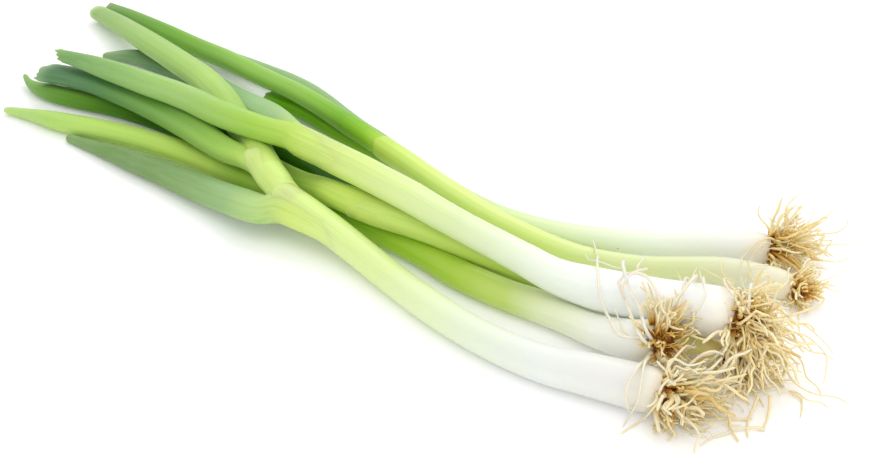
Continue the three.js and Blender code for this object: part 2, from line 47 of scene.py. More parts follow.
# Stations along each stalk, from the root end to the tip, in millimetres in the
# part's frame: [x, y, z, half width, half thickness]. They are the same as the
# CAD model's.
STALKS = {
    "onion_1_stem": [
        [183.6, -54.7, 7, 7, 7], [179.8, -55.7, 7.4, 7.3, 7.3], [175, -57.1, 7.6, 7.5, 7.5],
        [157.6, -61.4, 7.2, 6.8, 6.8], [144.4, -64.1, 6.3, 6.3, 6.3], [131, -65, 6, 6, 6],
        [117.5, -64.4, 5.8, 5.8, 5.8], [104.1, -62.6, 5.7, 5.7, 5.7], [90.9, -60, 5.7, 5.7, 5.7],
        [77.8, -56.8, 5.7, 5.6, 5.6], [64.7, -53.7, 6.4, 5.7, 5.6], [51.6, -51, 7.8, 5.8, 5.7],
        [38.4, -49.3, 10.1, 6.1, 5.8], [25.2, -48.7, 12.7, 6.3, 6], [12, -47.9, 15, 6.4, 5.6],
    ],
    "onion_1_leaf_1": [
        [21, -50, 11.7, 5, 3], [7, -53.7, 11.2, 7.4, 4.4], [-7.7, -51.5, 8.1, 7.8, 4.5],
        [-22.6, -49.9, 5.9, 7.6, 4.5], [-37.7, -49.8, 4.8, 7.1, 4.5], [-52.9, -50.6, 4.3, 6.4, 4.3],
        [-68, -51.1, 4.1, 5.4, 4.1], [-83.2, -51.3, 3.7, 4, 3.6], [-98.3, -51.5, 2.7, 2.6, 2.6],
        [-113.5, -51.6, 1.7, 1.7, 1.7],
    ],
    "onion_1_leaf_2": [
        [15, -46.7, 15.9, 4.6, 3.6], [0.7, -43.5, 16.2, 5.5, 4.5], [-13.4, -40.2, 16.8, 6, 5.1],
        [-27.7, -37.7, 17.1, 6.1, 5.1], [-41.6, -33.5, 16.3, 6.1, 5.1], [-55.9, -30.9, 15.6, 6.1, 4.9],
        [-70.2, -28.2, 14.9, 6, 4.8], [-84.5, -25.6, 14.2, 5.9, 4.7], [-99, -23.9, 13.6, 5.8, 4.6],
        [-113.5, -23.4, 13.3, 5.7, 4.5], [-128.1, -23.4, 13.2, 5.5, 4.5], [-142.6, -23.6, 12.3, 5.4, 4.5],
        [-157, -25.7, 11.3, 5, 4.3],
    ],
    "onion_1_leaf_3": [
        [11.6, -44.3, 15.4, 4.6, 3.8], [-2.1, -37.8, 16.1, 5.3, 4.8], [-15.1, -30.4, 15.5, 5.6, 5.4],
        [-28.8, -24.1, 15.1, 5.9, 5.3], [-42.1, -17, 15.2, 6.1, 5.2], [-55.3, -9.6, 15, 6.3, 4.9],
        [-68.6, -2.3, 15, 6.5, 4.8], [-82.3, 4.1, 14.5, 6.7, 4.6], [-96.4, 9.6, 14.2, 6.8, 4.6],
        [-111, 13.4, 14, 6.8, 4.6], [-125.5, 17.5, 13.5, 6.7, 4.6], [-140, 21.7, 12.7, 6.6, 4.6],
        [-154.4, 26.3, 11.5, 6.3, 4.5], [-168.5, 31.5, 9.7, 6, 4.4], [-182.5, 36.8, 7.6, 5.7, 4.4],
        [-196.8, 41.4, 5.9, 5.2, 4.2], [-211.2, 45.8, 4.2, 4.8, 4.1],
    ],
    "onion_2_stem": [
        [171.6, -39.7, 15.3, 7, 7], [168.1, -39.8, 13.3, 7.1, 7.1], [163.7, -40, 11, 7.1, 7.1],
        [147.6, -38.3, 6.9, 5.8, 5.8], [134.8, -37, 5.9, 5.5, 5.5], [121.9, -36.9, 5.4, 5.2, 5.2],
        [109.1, -37.6, 5, 4.9, 4.9], [96.2, -37.7, 4.9, 4.9, 4.9], [83.4, -36.7, 4.9, 4.9, 4.9],
        [70.7, -34.4, 4.9, 4.9, 4.9], [57.9, -32.8, 4.9, 4.9, 4.9], [45.1, -32.3, 5, 4.9, 4.9],
        [32.3, -33.2, 5.2, 4.9, 4.9], [20.6, -38.6, 5, 5.1, 4.8], [8, -38.9, 7, 5.2, 4.5],
    ],
    "onion_2_leaf_1": [
        [13.5, -37.9, 5.6, 4.4, 3.4], [-0.7, -36.9, 6.7, 5.1, 4.4], [-14.8, -34.3, 5.3, 5.5, 4.8],
        [-29.1, -33.4, 4.9, 5.6, 4.8], [-43.5, -33.1, 4.8, 5.7, 4.8], [-57.9, -33.8, 4.9, 5.7, 4.8],
        [-72.2, -35.7, 5, 5.7, 4.8], [-86.4, -37.8, 4.9, 5.7, 4.6], [-100.5, -40.8, 4.7, 5.6, 4.5],
        [-114.5, -44.2, 4.3, 5.3, 4.3], [-128.6, -47.2, 3.9, 4.5, 3.9], [-142.8, -49.2, 3.2, 3.1, 3.1],
        [-156.9, -51.9, 2, 2, 2],
    ],
    "onion_3_stem": [
        [187.3, -24.6, 5.4, 5.2, 5.2], [183.3, -24.6, 5.5, 5.4, 5.4], [178.3, -24.2, 5.5, 5.5, 5.5],
        [161.9, -20.3, 5.9, 5, 5], [149, -19.3, 6, 5, 5], [136, -19.7, 6.4, 5, 5],
        [123.2, -20.6, 7.6, 5, 5], [110.5, -22.5, 9.3, 4.9, 4.9], [97.9, -25.3, 11.2, 4.9, 4.9],
        [85.4, -28.3, 12.9, 4.9, 4.9], [72.9, -31.3, 14.4, 4.9, 4.9], [60.2, -33.4, 15.1, 5, 5],
        [47.3, -35.1, 15.2, 5.2, 5], [34.4, -35.9, 14.8, 5.3, 4.8],
    ],
    "onion_3_leaf_1": [
        [39.1, -32.3, 13.9, 4, 3], [24.4, -27.5, 12.3, 4.9, 3.7], [10.9, -20.4, 8.3, 5.3, 4],
        [-3, -14.2, 4.5, 5.5, 4], [-18.3, -11.1, 4, 5.6, 4], [-33.9, -8.9, 4, 5.6, 4],
        [-49.6, -8.1, 4, 5.6, 4], [-65.2, -7.2, 3.8, 5.1, 3.8], [-80.8, -5.8, 3.2, 4, 3.2],
    ],
    "onion_3_leaf_2": [
        [41.8, -36.3, 15.7, 4.4, 3.6], [27, -34.8, 15.3, 5.1, 5], [13.8, -29.8, 10.9, 5.2, 5.1],
        [-0.1, -26.1, 7.2, 5.2, 5], [-14.6, -23.1, 5.6, 5.2, 4.8], [-29.2, -20.8, 5.3, 5.2, 4.7],
        [-44, -19.5, 5.2, 5.2, 4.4], [-58.9, -19, 4.9, 5.2, 4.3], [-73.7, -18.7, 4.6, 5.2, 4.3],
        [-88.6, -19, 4.4, 5.2, 4.3], [-103.4, -19.9, 4.3, 5.2, 4.3], [-118.1, -22.2, 4.3, 5.2, 4.3],
        [-132.5, -25.9, 4.1, 5, 4.1], [-147, -28.9, 3.8, 4.4, 3.7], [-161.7, -29.5, 2.7, 2.8, 2.7],
        [-176.2, -26.1, 1.8, 1.8, 1.8],
    ],
    "onion_4_stem": [
        [189.9, -20.6, 19.7, 7.3, 7.3], [186, -21.3, 19.9, 8.2, 8.2], [181.1, -22.2, 20.2, 8.6, 8.6],
        [164.5, -26.3, 19.2, 7.7, 7.7], [151.9, -29.4, 18.4, 7.5, 7.5], [139.2, -32.1, 18, 7.1, 7.1],
        [126.3, -34.2, 18.4, 6.1, 6.1], [113.4, -34.4, 20.1, 5.6, 5.6], [100.5, -34.7, 21.9, 5.4, 5.4],
        [87.5, -34.6, 23.3, 5.4, 5.4], [74.6, -34.2, 24.8, 5.5, 5.5], [61.7, -33.1, 26, 5.8, 5.7],
        [48.7, -31.5, 26.2, 6, 5.8], [35.8, -30.2, 26.6, 6.2, 5.8], [22.8, -28.6, 26.4, 6.3, 5.8],
        [10.1, -26, 25.6, 6.2, 5.8], [-2.6, -23.2, 24.8, 6.1, 5.6], [-15.1, -19.7, 23.4, 6, 5.2],
    ],
    "onion_4_leaf_1": [
        [-3.7, -25, 25.9, 4.6, 3.6], [-18.1, -26.3, 25.6, 5.7, 4.9], [-32.4, -27.7, 25.8, 5.9, 5.2],
        [-46.9, -27.2, 25.5, 5.9, 5.1], [-61.4, -25.2, 25.1, 5.9, 5], [-75.9, -24.2, 24.6, 6, 4.9],
        [-90.5, -23.8, 23.8, 5.9, 4.9], [-105.1, -23.8, 23.5, 5.6, 4.8], [-119.7, -23.7, 22.9, 5.2, 4.6],
        [-134.2, -23.5, 22.1, 4.5, 4.1], [-148.8, -23.9, 20.9, 3.5, 3.5],
    ],
    "onion_4_leaf_2": [
        [-12.1, -16, 22.4, 4.4, 3.2], [-26.1, -10, 20.8, 5.3, 3.8], [-39.3, -3, 17, 6, 4.3],
        [-52.6, 3.6, 13, 6.4, 4.4], [-66.4, 9.3, 9.3, 6.6, 4.3], [-80.5, 14.5, 6.3, 6.6, 4.2],
        [-95.1, 19.1, 4.5, 6.6, 4.2], [-110.2, 21.9, 4.1, 6.6, 4.1], [-125.6, 23.1, 4, 6.4, 4],
        [-140.9, 22.9, 3.8, 5.9, 3.8], [-156.2, 20.7, 3.5, 4.3, 3.3], [-170.3, 14.8, 1.8, 2, 1.8],
    ],
    "onion_5_stem": [
        [185.1, 29.4, 5, 5, 5], [181.3, 28.3, 5.6, 5.2, 5.2], [176.6, 26.9, 6.3, 5.3, 5.3],
        [161.1, 21, 7, 5.1, 5.1], [149.6, 15.4, 6, 4.8, 4.8], [138.1, 9.7, 4.7, 4.6, 4.6],
        [126.4, 4.7, 4.4, 4.4, 4.4], [114.2, 0.7, 4.6, 4.3, 4.3], [101.7, -1.9, 5.9, 4.3, 4.3],
        [89.1, -3.1, 7.6, 4.3, 4.3], [76.4, -3.5, 9.2, 4.3, 4.3], [63.7, -2.3, 10.5, 4.5, 4.5],
        [51.1, -0.1, 11.5, 4.6, 4.6], [38.5, 2.4, 12.4, 4.7, 4.7], [26, 5, 13.4, 4.8, 4.8],
        [13.5, 7.6, 14.2, 4.9, 4.6],
    ],
    "onion_5_leaf_1": [
        [21.3, 5.8, 13.9, 3.8, 3.2], [6.4, 8.7, 14.9, 4.4, 4.2], [-8.5, 11.7, 15.9, 4.5, 4.3],
        [-23.2, 15.7, 15.9, 4.5, 4.1], [-37.7, 20.2, 15.2, 4.5, 3.9], [-52.2, 24.6, 14, 4.5, 3.9],
        [-66.9, 28.4, 12.4, 4.6, 3.9], [-81.6, 32, 10.8, 4.7, 4], [-96.2, 36, 9.4, 4.8, 4.1],
        [-111, 39.5, 8.1, 4.9, 4.3], [-125.9, 42.3, 6.7, 5, 4.4], [-140.8, 44.9, 5.6, 5, 4.4],
        [-155.8, 47.5, 4.9, 4.9, 4.2], [-170.8, 50, 4.4, 4.6, 4.1], [-185.9, 52.3, 4, 4.2, 4],
        [-200.9, 54.6, 3.6, 3.6, 3.6], [-216, 56.7, 2.9, 2.8, 2.8],
    ],
    "onion_6_stem": [
        [166, 48, 5.8, 5.8, 5.8], [162.7, 45.7, 6, 6, 6], [158.6, 42.9, 6.2, 6.1, 6.1],
        [145, 34.2, 6.2, 5.6, 5.6], [134.6, 27.2, 5.6, 5.2, 5.2], [124, 20.4, 5.1, 5, 5],
        [112.9, 14.6, 4.9, 4.9, 4.9], [101.3, 9.7, 4.8, 4.8, 4.8], [89.2, 6.4, 4.8, 4.8, 4.8],
        [76.7, 4.9, 4.8, 4.8, 4.8], [64.1, 5.4, 4.8, 4.8, 4.8], [51.7, 7.4, 4.8, 4.9, 4.8],
        [39.5, 10.4, 4.8, 5, 4.8], [27.3, 13.4, 4.7, 5, 4.6],
    ],
    "onion_6_leaf_1": [
        [33.9, 14.3, 4.2, 4.2, 3], [18.6, 16.9, 4.8, 5.1, 3.6], [3.4, 14.7, 7.2, 5.7, 3.9],
        [-12, 16.1, 7.9, 6, 3.9], [-27.1, 19.7, 7.7, 6.1, 3.9], [-42, 23.9, 6.8, 6.1, 3.9],
        [-57.1, 27.4, 5.4, 6, 3.8], [-72.4, 29.9, 3.6, 5.8, 3.6],
    ],
    "onion_6_leaf_2": [
        [35.5, 11.1, 5.2, 4, 3], [21, 15.4, 4.8, 4.6, 3.5], [7.2, 21.5, 3.9, 5, 3.8],
        [-7.2, 25.8, 3.9, 5.2, 3.9], [-21.8, 29.5, 3.9, 5.4, 3.9], [-36.2, 34.2, 3.9, 5.6, 3.9],
        [-50.5, 39.1, 4, 5.8, 3.9], [-65, 43.3, 4, 5.8, 3.9], [-79.9, 45.9, 3.9, 5.7, 3.7],
        [-95, 47.3, 3.6, 5.4, 3.6], [-110.1, 48.6, 3.4, 4.8, 3.3], [-125, 50.5, 2.9, 3.7, 2.9],
    ],
}

# Single roots that stand out of the tufts: radius at the base, radius at the
# tip, kind, points in millimetres.
STRAYS = [
    (0.62, 0.3, 'w', [(169.6, -44, 17), (166.3, -49.5, 18.5), (161.9, -49.5, 17.4), (156.7, -45.5, 16.9), (151.7, -42, 18.4), (149.6, -43, 24.2), (145.3, -38, 28), (123, -3.3, 10.9), (114.9, 6.4, 9.6)]),
    (0.62, 0.3, 'w', [(171.7, -45.8, 15), (170.5, -49.8, 19.7), (162.3, -42.7, 20.1), (158, -39.8, 22.5), (155.1, -39.4, 26.9), (153.6, -38.6, 29.3), (153.5, -36.8, 30.3), (155.4, -33.8, 30.8), (139, -0.5, 12.4), (137.7, 6.2, 12.1)]),
    (0.62, 0.32, 'w', [(171.5, -43.7, 15), (169.8, -47.3, 21.9), (161.6, -39.1, 23.7), (158.2, -39.1, 28), (154.9, -36.6, 30.4), (130.3, -6, 10.4), (124.5, -5.5, 10), (121, -5.9, 9.3), (118.4, -4.1, 10.4)]),
    (0.72, 0.38, 'w', [(170.6, -39.8, 19), (169.5, -38.3, 24.7), (167.6, -37.7, 29.2), (164.2, -36, 31.5), (160.1, -34.4, 32.1), (157.1, -35.5, 32.2), (156.6, -39.3, 31.2), (155.8, -40.1, 28.3), (157.1, -39.9, 24.2)]),
    (0.5, 0.25, 'w', [(170.5, -38.4, 19), (167.6, -37.9, 22.9), (164.9, -37.7, 27), (161.4, -35.3, 28.2), (158.6, -32.5, 28.3)]),
    (0.6, 0.3, 'w', [(171, -35.9, 21), (173.6, -36.6, 29.2), (174.6, -32.7, 32.5), (156.9, 5.5, 11.2), (156.3, 8.8, 13)]),
    (0.6, 0.3, 'w', [(173.2, -25.7, 19), (181.4, -35.4, 29.6), (181.2, -32.3, 32), (177.8, -27.2, 32.3), (159, 7.3, 10.8), (157.3, 8.7, 12.3)]),
    (0.55, 0.3, 'w', [(171.4, -34.1, 21), (175, -36.1, 29.6), (173.2, -32.1, 31.3), (152.7, 4.3, 8.9), (150.7, 5.2, 10.9)]),
    (0.45, 0.22, 'w', [(168.1, -40, 15), (168.9, -49, 19.4), (164.1, -48.3, 18.1), (157.4, -42.4, 17.1), (152.9, -39.3, 19.8)]),
    (0.66, 0.32, 'w', [(172.1, -46.4, 14), (173, -51.9, 14.3), (176.2, -62.7, 18), (175.9, -66.3, 14.6), (176.1, -67.3, 10), (176.6, -66.3, 5.9), (176.1, -64.1, 2.8)]),
    (0.5, 0.25, 'w', [(172.8, -48.6, 14), (177.9, -61.5, 18.1), (179.4, -64.6, 14.9), (179.5, -65.7, 9.9), (177.7, -65.1, 4.9), (176.1, -65.5, 0.5), (177, -69.2, 0.5)]),
    (0.55, 0.26, 'c', [(181.9, -52.5, 8), (185.4, -62.9, 11.1), (183.5, -63.8, 6.9), (179.9, -62.9, 0.8), (179, -67.2, 0.6), (178.2, -72.7, 0.5)]),
    (0.9, 0.55, 'c', [(177.1, -47.9, 14), (174, -36.2, 3), (179.7, -40.9, 3.5), (183.7, -45, 3)]),
    (0.75, 0.45, 'c', [(177.7, -47, 13), (174.3, -33.6, 2.5), (178.4, -31.5, 2), (181.5, -30.4, 1.6)]),
    (0.6, 0.35, 'w', [(191.4, -25.8, 16), (189.5, -29.1, 14.6), (188.3, -34.2, 13), (185, -35.1, 8.1), (182.2, -33.8, 3), (183.6, -39.3, 2.5)]),
    (0.62, 0.4, 'w', [(177.2, -31.6, 6.3), (182.6, -31.9, 9.6), (186.4, -30, 11.5), (187.6, -23, 7.4), (190.4, -20.4, 6)]),
    (0.7, 0.5, 'w', [(191.5, -22.4, 15), (191.7, -23.1, 10), (192.4, -25.9, 8), (193, -30.7, 7), (193.8, -33.1, 6)]),
    (0.6, 0.4, 'w', [(187.8, -29.4, 11.7), (187.3, -27.9, 6), (189.8, -29, 5), (191.6, -28.8, 4.5)]),
    (0.45, 0.2, 'c', [(191.5, -26.5, 27), (189.4, -27.2, 31), (185.4, -24.6, 31.7), (164.1, 11.8, 10.2), (159.4, 11.4, 11), (155.4, 12.1, 11.6)]),
    (0.45, 0.2, 'c', [(191.4, -23.6, 27), (189.9, -24.9, 30.8), (185.2, -21.6, 31), (166.1, 12.2, 10.8), (163.3, 13.4, 12.3), (160.9, 18.9, 13.3)]),
    (0.6, 0.25, 'w', [(193, -25.3, 27), (191.9, -23.3, 30), (172.8, 15.1, 6.3), (171.7, 14.3, 9.5), (169.8, 15.9, 11.2)]),
    (0.4, 0.2, 'c', [(192.6, -19.2, 26), (177.7, 15.6, 8), (174.5, 15.8, 11.5), (171.9, 17.4, 13), (169.9, 19.7, 13.1)]),
    (0.4, 0.2, 'c', [(192.6, -17.7, 26), (180, 16.6, 7.2), (178, 16.3, 9.4), (174.8, 16.8, 11.1), (172.2, 17.3, 11.5)]),
    (0.42, 0.2, 'c', [(167.8, 45.6, 11), (166.5, 41.3, 13.7), (165, 38.3, 13.3), (163.3, 36, 11.2), (162.1, 33.5, 8.6), (167.2, 20.2, 13.5), (168, 17, 11.6)]),
    (0.36, 0.18, 'c', [(167.7, 42.7, 11), (166.4, 39.6, 12.4), (165.1, 36.5, 10.4), (164.2, 35.1, 7.4), (170.5, 20.7, 13.3), (171.7, 19.4, 12)]),
    (0.3, 0.15, 'c', [(174.6, 26.2, 12.7), (172.6, 24.1, 12.9), (171, 21.9, 12.9), (170.5, 18.9, 11.7), (171.2, 17, 8)]),
    (0.5, 0.2, 'c', [(174.6, 44, 8), (177.9, 53, 8), (181, 61.4, 7), (184.6, 69.5, 5), (186.4, 76, 4)]),
    (0.45, 0.2, 'c', [(174.2, 51.7, 11), (177.2, 61.9, 10), (181, 69.1, 9), (181.3, 75, 9), (179.6, 80.4, 9)]),
    (0.4, 0.18, 'c', [(178, 45.6, 6), (181.6, 54.6, 4), (185.8, 59.4, 2.5), (187.4, 66.4, 1.5)]),
    (0.35, 0.16, 'c', [(185.8, 34.9, 5), (188.7, 40.5, 3), (192.5, 42.5, 1.5), (195.5, 44.6, 0.8)]),
    (0.35, 0.16, 'c', [(182.9, 35.7, 6), (186.7, 40.3, 4), (188.5, 47.6, 2), (189.4, 53.9, 1)]),
    (0.4, 0.18, 'c', [(172.9, 64.1, 10), (175.1, 67.1, 12), (174.4, 75.2, 12), (172.4, 83.8, 11)]),
    (0.35, 0.16, 'c', [(171.9, 60.7, 12), (171, 67.2, 13), (169.1, 73.5, 13)]),
    (0.5, 0.22, 'c', [(196.5, -15.3, 18), (197.4, -2, 13), (199.6, 6.4, 8), (203.1, 9.3, 4), (207, 9.5, 1.5), (209.7, 7.9, 0.7)]),
    (0.5, 0.22, 'c', [(197.5, -15.5, 17), (199.9, -3.6, 11), (203.2, 4.4, 5), (207.8, 4.8, 2), (212.7, -3.6, 0.8), (214.8, -10, 0.6)]),
    (0.5, 0.2, 'c', [(196.7, -18.2, 15), (201, -14.7, 8), (208.8, -17.3, 2), (215.4, -16.9, 0.9), (220.9, -14.1, 0.7), (225.5, -14.3, 0.6)]),
    (0.45, 0.2, 'c', [(196.6, -16.1, 15), (202, -9.6, 8), (205.9, -7.8, 4), (209.1, -10.8, 1.6), (214.6, -13.2, 0.8), (217.5, -16.1, 0.6)]),
    (0.42, 0.2, 'c', [(205.6, -23.2, 1.5), (210.3, -19.9, 1), (215.1, -21.1, 0.8), (218.4, -19.4, 0.6), (221.9, -20.3, 0.5)]),
    (0.42, 0.2, 'c', [(208.9, -21.3, 1.2), (212.6, -21.7, 0.8), (215.4, -25.8, 0.6), (217.2, -30.7, 0.5)]),
    (0.4, 0.18, 'c', [(202, -2.1, 6), (205.3, 0.9, 3), (208, 4.6, 1.4), (211.7, 4.4, 0.7)]),
    (0.5, 0.22, 'c', [(211.8, -43.2, 0.7), (209.5, -44.1, 0.9), (206.9, -46.4, 1), (204.7, -49.3, 0.9), (203, -53, 0.8), (201.1, -56.3, 0.7), (200.4, -59.9, 0.6), (200.1, -62.4, 0.5)]),
    (0.55, 0.3, 'c', [(199.4, -44.6, 4), (201.2, -47.1, 2.5), (203, -49.3, 1.2), (206.1, -51.7, 0.7), (208.4, -53.4, 0.6)]),
    (0.5, 0.26, 'c', [(185.6, -59.8, 4), (187.7, -61.1, 2), (189.4, -63.2, 1), (191.2, -64.4, 0.7), (191.1, -66.6, 0.5)]),
    (0.55, 0.3, 't', [(203.6, -33.2, 4), (204.3, -37.2, 2), (205.2, -41.3, 1), (207.5, -46.7, 0.7), (209.6, -49.9, 0.6)]),
    (0.55, 0.3, 't', [(206.5, -30.9, 4), (208.6, -35, 2), (210.3, -39.8, 1), (210.8, -44.6, 0.7)]),]


# ---------------------------------------------------------------- stalk shapes
class Rod:
    """A smooth centreline with an oval section, sampled every half millimetre."""

    def __init__(self, rows, before=0.0, after=14.0):
        r = np.array(rows, float)
        s = np.r_[0, np.cumsum(np.linalg.norm(np.diff(r[:, :3], axis=0), axis=1))]
        m = np.empty_like(r)
        m[1:-1] = (r[2:] - r[:-2]) / (s[2:] - s[:-2])[:, None]
        m[0] = (r[1] - r[0]) / (s[1] - s[0])
        m[-1] = (r[-1] - r[-2]) / (s[-1] - s[-2])
        t = np.arange(0, s[-1] + 0.25, 0.5)
        k = np.clip(np.searchsorted(s, t, side="right") - 1, 0, len(s) - 2)
        h = (s[k + 1] - s[k])[:, None]
        f = ((t - s[k]) / (s[k + 1] - s[k])).clip(0, 1)[:, None]
        q = (
            (2 * f**3 - 3 * f**2 + 1) * r[k]
            + (f**3 - 2 * f**2 + f) * h * m[k]
            + (-2 * f**3 + 3 * f**2) * r[k + 1]
            + (f**3 - f**2) * h * m[k + 1]
        )
        d = q[1, :3] - q[0, :3]
        d /= np.linalg.norm(d)
        e = q[-1, :3] - q[-2, :3]
        e /= np.linalg.norm(e)
        nb, na = int(before / 0.5), int(after / 0.5)
        head = np.repeat(q[:1], nb, axis=0)
        head[:, :3] -= d * (np.arange(nb, 0, -1) * 0.5)[:, None]
        tail = np.repeat(q[-1:], na, axis=0)
        tail[:, :3] += e * (np.arange(1, na + 1) * 0.5)[:, None]
        q = np.vstack([head, q, tail])
        self.L = float(np.linalg.norm(np.diff(q[nb : len(q) - na, :3], axis=0), axis=1).sum())
        c = np.r_[0, np.cumsum(np.linalg.norm(np.diff(q[:, :3], axis=0), axis=1))]
        self.s = c - (c[nb] if nb else 0.0)
        self.P, self.A, self.B = q[:, :3], q[:, 3], q[:, 4]
        T = np.gradient(self.P, self.s, axis=0)
        T /= np.linalg.norm(T, axis=1)[:, None]
        S = np.cross(T, [0, 0, 1.0])
        S /= np.linalg.norm(S, axis=1)[:, None]
        self.T, self.S, self.U = T, S, np.cross(S, T)

    def get(self, what, s):
        v = getattr(self, what)
        if v.ndim == 1:
            return np.interp(s, self.s, v)
        return np.stack([np.interp(s, self.s, v[:, j]) for j in range(3)], -1)

    def row(self, s, k=1.0, side=0.0, up=0.0):
        """A station at s with the section times k, moved to the side and up."""
        p = self.get("P", s) + self.get("S", s) * side + self.get("U", s) * up
        return [*p, float(self.get("A", s)) * k, float(self.get("B", s)) * k]


def smooth(x, lo, hi):
    f = np.clip((x - lo) / (hi - lo), 0, 1)
    return f * f * (3 - 2 * f)


def waves(seed, n, low, high):
    """n sine waves of random whole frequency and phase."""
    g = np.random.default_rng(seed)
    return [(int(g.integers(low, high + 1)), g.uniform(0, 2 * math.pi), g.uniform(0.5, 1)) for _ in range(n)]


def mesh_object(name, verts, faces, attributes):
    me = bpy.data.meshes.new(name)
    me.from_pydata([tuple(v) for v in verts], [], faces)
    for key, (kind, data) in attributes.items():
        a = me.attributes.new(key, kind, "POINT")
        field = "vector" if kind == "FLOAT_VECTOR" else "value"
        a.data.foreach_set(field, np.ascontiguousarray(data, dtype=np.float32).ravel())
    me.polygons.foreach_set("use_smooth", [True] * len(me.polygons))
    me.update()
    ob = bpy.data.objects.new(name, me)
    bpy.context.scene.collection.objects.link(ob)
    return ob


